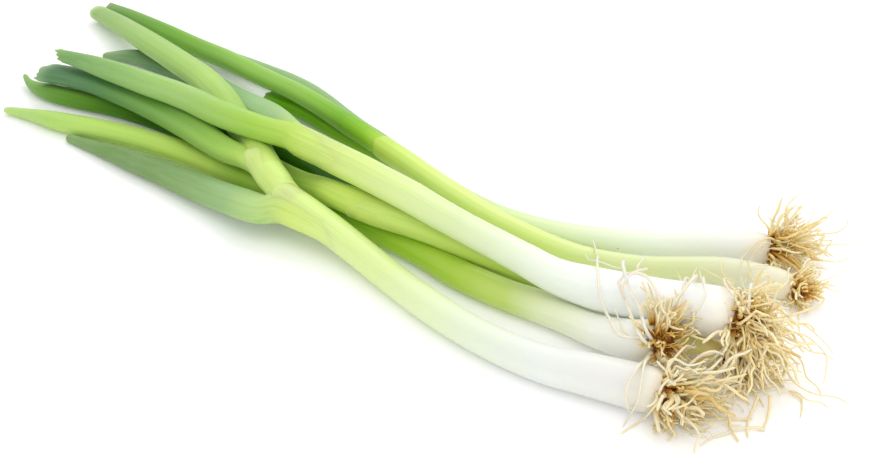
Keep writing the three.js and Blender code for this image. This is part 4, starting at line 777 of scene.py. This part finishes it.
def grow(p, d, length, r0, g, comb, k_comb, k_grav, k_noise, freq, curl=0.05, steps=26):
    """Paths of many strands at once: each heads on, curls, is combed, sinks, wanders, and slides
    off the shafts and the surface. p, d: (M, 3). Returns (M, steps + 1, 3)."""
    M = len(p)
    ds = (length / steps)[:, None]
    out = [p.copy()]
    seedv = g.uniform(-50, 50, (M, 3))
    spin = g.normal(0, 1, (M, 3))
    spin /= np.linalg.norm(spin, axis=1)[:, None]
    tight = (g.choice([-1, 1], M) * g.uniform(0.5, 1.6, M) * curl)[:, None]
    beat, phase = g.uniform(0.26, 0.75, M)[:, None], g.uniform(0, 6.3, M)[:, None]
    kink_at = g.integers(4, int(steps * 1.5), M)
    kink = g.normal(0, 0.75, (M, 3))
    for n in range(steps):
        wander = np.array([noise.noise_vector(Vector(q * freq + w)) for q, w in zip(p, seedv)])
        late = n / steps
        bend = np.cross(spin, d) * tight * (0.3 + 1.5 * np.sin(phase + beat * n * ds)) * ds
        d = d + bend + 0.72 * k_comb[:, None] * comb * ds * (0.5 + 0.8 * late) + k_grav[:, None] * ds * (0.3 + 1.4 * late) * np.array([0, 0, -1.0]) + wander * k_noise[:, None] * np.sqrt(ds)
        d = d + kink * (kink_at == n)[:, None]
        d /= np.linalg.norm(d, axis=1)[:, None]
        p = p + d * ds
        for _ in range(2):
            gap = p[:, None, :] - ball_c[None]
            dist = np.linalg.norm(gap, axis=2) - ball_r[None]
            j = dist.argmin(axis=1)
            near = dist[np.arange(M), j] - (r0 + 0.1)
            hit = near < 0
            if n > 0 and hit.any():
                away = gap[np.arange(M), j]
                away /= np.linalg.norm(away, axis=1)[:, None]
                p[hit] -= away[hit] * np.maximum(near[hit], -0.8)[:, None]
        low = p[:, 2] < r0 + 0.05
        p[low, 2] = (r0 + 0.05)[low]
        p[:, 2] = np.minimum(p[:, 2], TOP - r0)
        p[:, 1] = np.minimum(p[:, 1], 84.0)
        d = p - out[-1]
        d /= np.linalg.norm(d, axis=1)[:, None] + 1e-9
        out.append(p.copy())
    return np.stack(out, 1)


def strands(paths, r0, r1, sides, tone_and_painted_shade, seed, lead=0.0, blunt=0.4, knots=0.07):
    """Vertices, faces and attributes of tapered tubes along the paths."""
    verts, faces, along, tone_with_shade = [], [], [], []
    g = np.random.default_rng(seed)
    base = 0
    for path, ra, rb, tn in zip(paths, r0, r1, tone_and_painted_shade):
        n = len(path)
        t = np.gradient(path, axis=0)
        t /= np.linalg.norm(t, axis=1)[:, None] + 1e-9
        ref = np.array([0, 0, 1.0]) if abs(t[0][2]) < 0.9 else np.array([1.0, 0, 0])
        x = np.cross(t[0], ref)
        x /= np.linalg.norm(x)
        xs = [x]
        for q in range(1, n):
            x = x - t[q] * np.dot(x, t[q])
            x /= np.linalg.norm(x)
            xs.append(x)
        xs = np.array(xs)
        ys = np.cross(t, xs)
        u = np.linspace(0, 1, n)
        r = ra + (rb - ra) * u**0.8
        r = r * (1 + knots * np.sin(u * g.uniform(14, 34) + g.uniform(0, 6)) + g.normal(0, knots * 0.5, n))
        r[-1] *= blunt
        th = np.arange(sides) * 2 * math.pi / sides
        ring = path[:, None, :] + (xs[:, None, :] * np.cos(th)[None, :, None] + ys[:, None, :] * np.sin(th)[None, :, None]) * r[:, None, None]
        ring[..., 2] = np.maximum(ring[..., 2], 0.02)
        verts.append(ring.reshape(-1, 3))
        far = lead + np.r_[0, np.cumsum(np.linalg.norm(np.diff(path, axis=0), axis=1))] / 26.0
        along.append(np.repeat(far, sides))
        tone_with_shade.append(np.full(n * sides, tn))
        for q in range(n - 1):
            o, p2 = base + q * sides, base + (q + 1) * sides
            for j in range(sides):
                j2 = (j + 1) % sides
                faces.append((o + j, o + j2, p2 + j2, p2 + j))
        verts.append(np.array([path[0] - t[0] * 0.1, path[-1] + t[-1] * r[-1] * 0.8]))
        along.append([far[0], far[-1]])
        tone_with_shade.append([tn, tn])
        c0 = base + n * sides
        for j in range(sides):
            j2 = (j + 1) % sides
            faces.append((base + j2, base + j, c0))
            faces.append((base + (n - 1) * sides + j, base + (n - 1) * sides + j2, c0 + 1))
        base = c0 + 2
    v = np.vstack(verts)
    return v, faces, np.concatenate(along), np.concatenate(tone_with_shade)


def strand_object(name, groups):
    """One mesh from several (paths, r0, r1, sides, rnd, seed) groups."""
    V, Fs, Al, Tn, n = [], [], [], [], 0
    for grp in groups:
        v, fs, al, tn = strands(*grp)
        V.append(v)
        Fs += [tuple(k + n for k in q) for q in fs]
        Al.append(al)
        Tn.append(tn)
        n += len(v)
    v = np.vstack(V) * MM
    return mesh_object(name, v, Fs, {"rod": ("FLOAT_VECTOR", v), "along": ("FLOAT", np.concatenate(Al)), "tone_and_painted_shade": ("FLOAT", np.concatenate(Tn))})


def unit(v):
    v = np.array(v, float)
    return v / np.linalg.norm(v)


root_mats = {
    "tan": root_skin("root_tan", "6a3606", "d09c3c", "efd794", "f6e8c2"),
    "cream": root_skin("root_cream", "6a3a08", "cc9a40", "ead8a0", "efe5c8"),
    "pale": root_skin("root_pale", "d4c498", "e2d9c0", "e9e5d8", "ece9e0"),
}
soil_mat = soil("soil")
SIGHT = TOWARD * 0.866 + UPZ * 0.5

# How each tuft grows. face: the way its plate looks, as shares of the stalk's own
# axis and of the open side. Bundles: (strands, direction, spread, length from/to,
# base radius, comb, sink, wander, curl).
TUFTS = {
    1: dict(seed=5, mat="cream", back=0.42, face=(0.9, 0.5), bundles=[
        (30, unit(RIGHT * 1.0 + TOWARD * 0.02 + UPZ * 0.24), 0.30, 14, 29, 0.66, 0.11, 0.04, 0.13, 0.17),
        (28, unit(RIGHT * 0.95 + TOWARD * 0.45 + UPZ * 0.08), 0.36, 12, 25, 0.64, 0.09, 0.05, 0.15, 0.18),
        (30, unit(RIGHT * 0.35 + TOWARD * 0.9 - UPZ * 0.2), 0.5, 6, 12, 0.78, 0.05, 0.05, 0.14, 0.15),
        (20, unit(TOWARD * 1.0 - RIGHT * 0.1 + UPZ * 0.0), 0.5, 4, 8, 0.74, 0.03, 0.03, 0.14, 0.16),
        (12, unit(RIGHT * 0.7 + UPZ * 0.6), 0.5, 5, 11, 0.60, 0.04, 0.02, 0.14, 0.16),
    ]),
    2: dict(seed=6, mat="tan", back=0.35, face=(0.8, 0.8), bundles=[
        (44, unit(RIGHT * 0.34 - TOWARD * 0.62 + UPZ * 0.62), 0.20, 8, 15.5, 0.52, 0.08, 0.0, 0.12, 0.13),
        (14, unit(RIGHT * 0.75 - TOWARD * 0.1 + UPZ * 0.35), 0.45, 5, 9, 0.50, 0.05, 0.01, 0.14, 0.14),
        (20, unit(TOWARD * 0.5 + RIGHT * 0.1 - UPZ * 0.75), 0.45, 4, 9, 0.50, 0.04, 0.04, 0.14, 0.14),
        (8, unit(-RIGHT * 0.1 + TOWARD * 0.3 + UPZ * 0.6), 0.5, 4, 8, 0.48, 0.04, 0.03, 0.14, 0.15),
        (14, unit(SIGHT), 0.6, 3, 7, 0.50, 0.03, 0.03, 0.14, 0.16),
    ]),
    3: dict(seed=7, mat="tan", back=0.2, face=(0.9, 0.5), bundles=[
        (34, unit(RIGHT * 0.9 + TOWARD * 0.15 - UPZ * 0.05), 0.5, 8, 22, 0.56, 0.05, 0.05, 0.16, 0.15),
        (28, unit(RIGHT * 0.75 + TOWARD * 0.6 - UPZ * 0.1), 0.5, 8, 18, 0.54, 0.05, 0.06, 0.16, 0.15),
        (8, unit(RIGHT * 0.3 + TOWARD * 0.9 + UPZ * 0.2), 0.5, 4, 8, 0.48, 0.04, 0.05, 0.16, 0.16),
    ]),
    4: dict(seed=8, mat="tan", back=0.42, face=(0.8, 0.8), bundles=[
        (60, unit(RIGHT * 0.36 + TOWARD * 0.50 - UPZ * 0.90), 0.36, 14, 32, 0.58, 0.06, 0.04, 0.15, 0.20),
        (52, unit(RIGHT * 0.90 + TOWARD * 0.05 - UPZ * 0.32), 0.42, 10, 26, 0.56, 0.05, 0.03, 0.16, 0.22),
        (28, unit(RIGHT * 0.7 + TOWARD * 0.3 + UPZ * 0.5), 0.5, 6, 14, 0.60, 0.04, 0.04, 0.16, 0.18),
        (18, unit(RIGHT * 0.05 + UPZ * 0.9), 0.5, 4, 10, 0.58, 0.04, 0.05, 0.16, 0.18),
        (24, unit(RIGHT * 0.05 + TOWARD * 0.6 - UPZ * 0.8), 0.4, 7, 19, 0.62, 0.05, 0.05, 0.16, 0.16),
        (16, unit(-RIGHT * 0.40 + TOWARD * 0.40 - UPZ * 0.80), 0.30, 9, 20, 0.56, 0.08, 0.04, 0.13, 0.16),
    ]),
    5: dict(seed=9, mat="tan", back=0.45, face=(0.9, 0.6), bundles=[
        (24, unit(RIGHT * 0.7 + TOWARD * 0.5), 0.6, 5, 12, 0.54, 0.05, 0.04, 0.16, 0.20),
        (24, unit(RIGHT * 0.5 - TOWARD * 0.2 + UPZ * 0.45), 0.6, 5, 11, 0.52, 0.05, 0.03, 0.16, 0.20),
        (14, unit(RIGHT * 0.1 + TOWARD * 0.6 - UPZ * 0.4), 0.5, 3, 8, 0.50, 0.04, 0.04, 0.16, 0.18),
    ]),
    6: dict(seed=10, mat="tan", back=0.5, face=(0.8, 0.85), bundles=[
        (58, unit(RIGHT * 0.80 - TOWARD * 0.55 + UPZ * 0.12), 0.24, 12, 24, 0.58, 0.09, 0.01, 0.12, 0.15),
        (40, unit(RIGHT * 1.0 + TOWARD * 0.05 + UPZ * 0.08), 0.30, 10, 22, 0.56, 0.07, 0.02, 0.14, 0.18),
        (22, unit(RIGHT * 0.6 + TOWARD * 0.6 - UPZ * 0.1), 0.45, 6, 14, 0.58, 0.05, 0.05, 0.16, 0.16),
        (12, unit(-RIGHT * 0.1 + TOWARD * 0.3 + UPZ * 0.6), 0.5, 4, 9, 0.54, 0.04, 0.04, 0.16, 0.18),
    ]),
}

for i, tuft in TUFTS.items():
    st = shaft[i]
    g = np.random.default_rng(tuft["seed"])
    axis = -st.get("T", np.array([0.0]))[0]
    R = float(st.get("A", 4.0))
    face = unit(axis * tuft["face"][0] + SIGHT * tuft["face"][1])
    s0 = unit(np.cross(face, UPZ))
    u0 = np.cross(s0, face)
    middle = st.get("P", tuft["back"] * R)
    node = "onion_%d_roots" % i
    groups = []

    def seats(m, lo, hi):
        """Starting points on the rounded end, and the way each looks."""
        tilt = np.arccos(1 - g.uniform(1 - math.cos(lo), 1 - math.cos(hi), m))
        phi = g.uniform(0, 2 * math.pi, m)
        flat = s0[None] * np.cos(phi)[:, None] + u0[None] * np.sin(phi)[:, None]
        look = face[None] * np.cos(tilt)[:, None] + flat * np.sin(tilt)[:, None]
        return middle[None] + look * (R * 0.80), look

    for m, comb, spread, l0, l1, rad, kc, kg, kn, curl in tuft["bundles"]:
        p, look = seats(m * 3, 0.15, 1.36)
        # keep the seats that already look the bundle's way
        order = np.argsort(-(look @ comb + g.uniform(0, 1.0, len(p)) - 9.0 * (look @ axis < -0.02)))[:m]
        p, look = p[order], look[order]
        dd = look * 1.0 + comb[None] * 0.35 + g.normal(0, 0.22, (m, 3))
        dd /= np.linalg.norm(dd, axis=1)[:, None]
        aim = comb[None] + g.normal(0, spread, (m, 3))
        length = l0 + (l1 - l0) * g.uniform(0, 1, m) ** 1.2
        r0 = rad * g.uniform(0.74, 1.22, m)
        # seats near the middle of the plate get a low tone value, darker and more orange, as painted shade of the
        # tuft's core; the rest is random tone
        rim = 1 - np.clip(look @ face, 0, 1)
        tone_with_shade = np.clip(0.34 + 1.1 * rim + g.normal(0, 0.26, m), 0, 1)
        paths = grow(p, dd, length, r0, g, aim, np.full(m, kc), np.full(m, kg), np.full(m, kn), 0.13, curl)
        groups.append((paths, r0, r0 * g.uniform(0.42, 0.70, m), 7, tone_with_shade, int(g.integers(1e6))))
        # fine rootlets between them, given low tone values so they read darker and more orange: painted shade in the
        # gaps
        m2 = max(4, (m * 2) // 5)
        p, look = seats(m2, 0.0, 0.8)
        dd = look + comb[None] * 0.5 + g.normal(0, 0.3, (m2, 3))
        dd /= np.linalg.norm(dd, axis=1)[:, None]
        length = g.uniform(l0, l1, m2) * 0.75
        r0 = g.uniform(0.15, 0.26, m2)
        paths = grow(p, dd, length, r0, g, comb[None] + g.normal(0, spread * 1.4, (m2, 3)), np.full(m2, kc), np.full(m2, kg), np.full(m2, kn * 2), 0.22, curl * 1.5)
        groups.append((paths, r0, r0 * 0.55, 5, g.uniform(0.0, 0.6, m2), int(g.integers(1e6))))
    ob = strand_object("onion_%d_root_tuft" % i, groups)
    put(ob, root_mats[tuft["mat"]], node)
    # the plate the roots grow from, with soil caught in it
    nu, nv = 40, 12
    vs, fs = [], []
    for q in range(nv):
        tilt = 0.92 * (1 - q / (nv - 1)) + 0.02
        for j in range(nu):
            t = 2 * math.pi * j / nu
            look = face * math.cos(tilt) + (s0 * math.cos(t) + u0 * math.sin(t)) * math.sin(tilt)
            lump = noise.noise(Vector(look * 3.1) + Vector((i * 5.0, 0, 0))) * 0.5 + noise.noise(Vector(look * 7.0)) * 0.3
            v = middle + look * R * (0.825 + 0.10 * lump * math.sin(math.pi * min(1.0, 0.15 + q / (nv - 1))) - 0.16 * (1 if q == 0 else 0))
            v[2] = max(v[2], 0.05)
            vs.append(v * MM)
    for q in range(nv - 1):
        for j in range(nu):
            j2 = (j + 1) % nu
            fs.append((q * nu + j, q * nu + j2, (q + 1) * nu + j2, (q + 1) * nu + j))
    fs.append(tuple(reversed(range(nu))))
    fs.append(tuple((nv - 1) * nu + j for j in range(nu)))
    me = bpy.data.meshes.new("onion_%d_plate" % i)
    me.from_pydata([tuple(v) for v in vs], [], fs)
    me.polygons.foreach_set("use_smooth", [True] * len(me.polygons))
    plate = bpy.data.objects.new("onion_%d_plate" % i, me)
    bpy.context.scene.collection.objects.link(plate)
    put(plate, soil_mat, node)


def spline(points, n=26):
    p = np.array(points, float)
    s = np.r_[0, np.cumsum(np.linalg.norm(np.diff(p, axis=0), axis=1))]
    m = np.gradient(p, s, axis=0)
    t = np.linspace(0, s[-1], n)
    k = np.clip(np.searchsorted(s, t, side="right") - 1, 0, len(s) - 2)
    h = (s[k + 1] - s[k])[:, None]
    f = ((t - s[k]) / (s[k + 1] - s[k])).clip(0, 1)[:, None]
    q = (2 * f**3 - 3 * f**2 + 1) * p[k] + (f**3 - 2 * f**2 + f) * h * m[k] + (-2 * f**3 + 3 * f**2) * p[k + 1] + (f**3 - f**2) * h * m[k + 1]
    return q


kinds = {"w": "pale", "c": "cream", "t": "tan"}
g = np.random.default_rng(99)
for kind, mat in kinds.items():
    group = []
    for r0, r1, k, pts in STRAYS:
        if k != kind:
            continue
        q = spline(pts)
        q[:, 2] = np.clip(q[:, 2], r1 + 0.05, TOP - 0.5)
        group.append(([q], [r0 * 1.05], [r1], 7, [g.uniform(0.35, 0.9)], int(g.integers(1e6)), 0.3))
    ob = strand_object("loose_roots_" + mat, group)
    put(ob, root_mats[mat], {"w": "onion_2_roots", "c": "onion_4_roots", "t": "onion_1_roots"}[kind])

# ----------------------------------------------------------- surface and light
scene = bpy.context.scene
scene.view_settings.view_transform = "Standard"
scene.view_settings.look = "None"
scene.view_settings.exposure = 0.0

bpy.ops.mesh.primitive_plane_add(size=6.0, location=(0, 0, 0))
floor = bpy.context.object
floor.name = "floor"
fm = bpy.data.materials.new("floor_white")
fm.use_nodes = True
fp = fm.node_tree.nodes["Principled BSDF"]
fp.inputs["Base Color"].default_value = (0.90, 0.90, 0.90, 1)
fp.inputs["Roughness"].default_value = 0.6
fp.inputs["Specular IOR Level"].default_value = 0.2
# the floor also glows faintly: painted light that lifts the shadows on it and brightens the undersides of the stalks
fp.inputs["Emission Color"].default_value = (1, 1, 1, 1)
fp.inputs["Emission Strength"].default_value = 0.13
floor.data.materials.append(fm)

world = bpy.data.worlds.new("studio")
world.use_nodes = True
world.node_tree.nodes["Background"].inputs[0].default_value = (1, 1, 1, 1)
world.node_tree.nodes["Background"].inputs[1].default_value = 0.815
scene.world = world


def area(name, place, target, size, power, colour=(1, 1, 1)):
    data = bpy.data.lights.new(name, "AREA")
    data.shape = "RECTANGLE"
    data.size, data.size_y = size
    data.energy = power
    data.color = colour
    ob = bpy.data.objects.new(name, data)
    scene.collection.objects.link(ob)
    ob.location = place
    ob.visible_camera = False
    ob.rotation_mode = "QUATERNION"
    ob.rotation_quaternion = (Vector(target) - Vector(place)).to_track_quat("-Z", "Y")
    return ob


area("key", (-0.15, 0.75, 1.05), (0.0, 0.0, 0.0), (1.1, 0.7), 5.2, (1.0, 0.995, 0.98))
area("top", (0.35, -0.2, 1.1), (0.0, 0.0, 0.0), (0.9, 0.9), 2.6)
area("fill", (0.50, -0.44, 0.24), (0.18, -0.03, 0.01), (0.4, 0.3), 0.5, (1.0, 0.995, 0.985))

# --------------------------------------------------------------------- camera
cam = bpy.data.cameras.new("camera")
cam.sensor_width = 36.0
cam.lens = 59.45
camera = bpy.data.objects.new("camera", cam)
scene.collection.objects.link(camera)
camera.location = (0.3552, -0.3796, 0.2753)
look_dir = Vector((-0.631 * math.cos(math.radians(30)), 0.776 * math.cos(math.radians(30)), -0.5))
camera.rotation_mode = "QUATERNION"
camera.rotation_quaternion = look_dir.to_track_quat("-Z", "Y")
cam.clip_start, cam.clip_end = 0.01, 20.0
scene.camera = camera

bpy.context.view_layer.update()
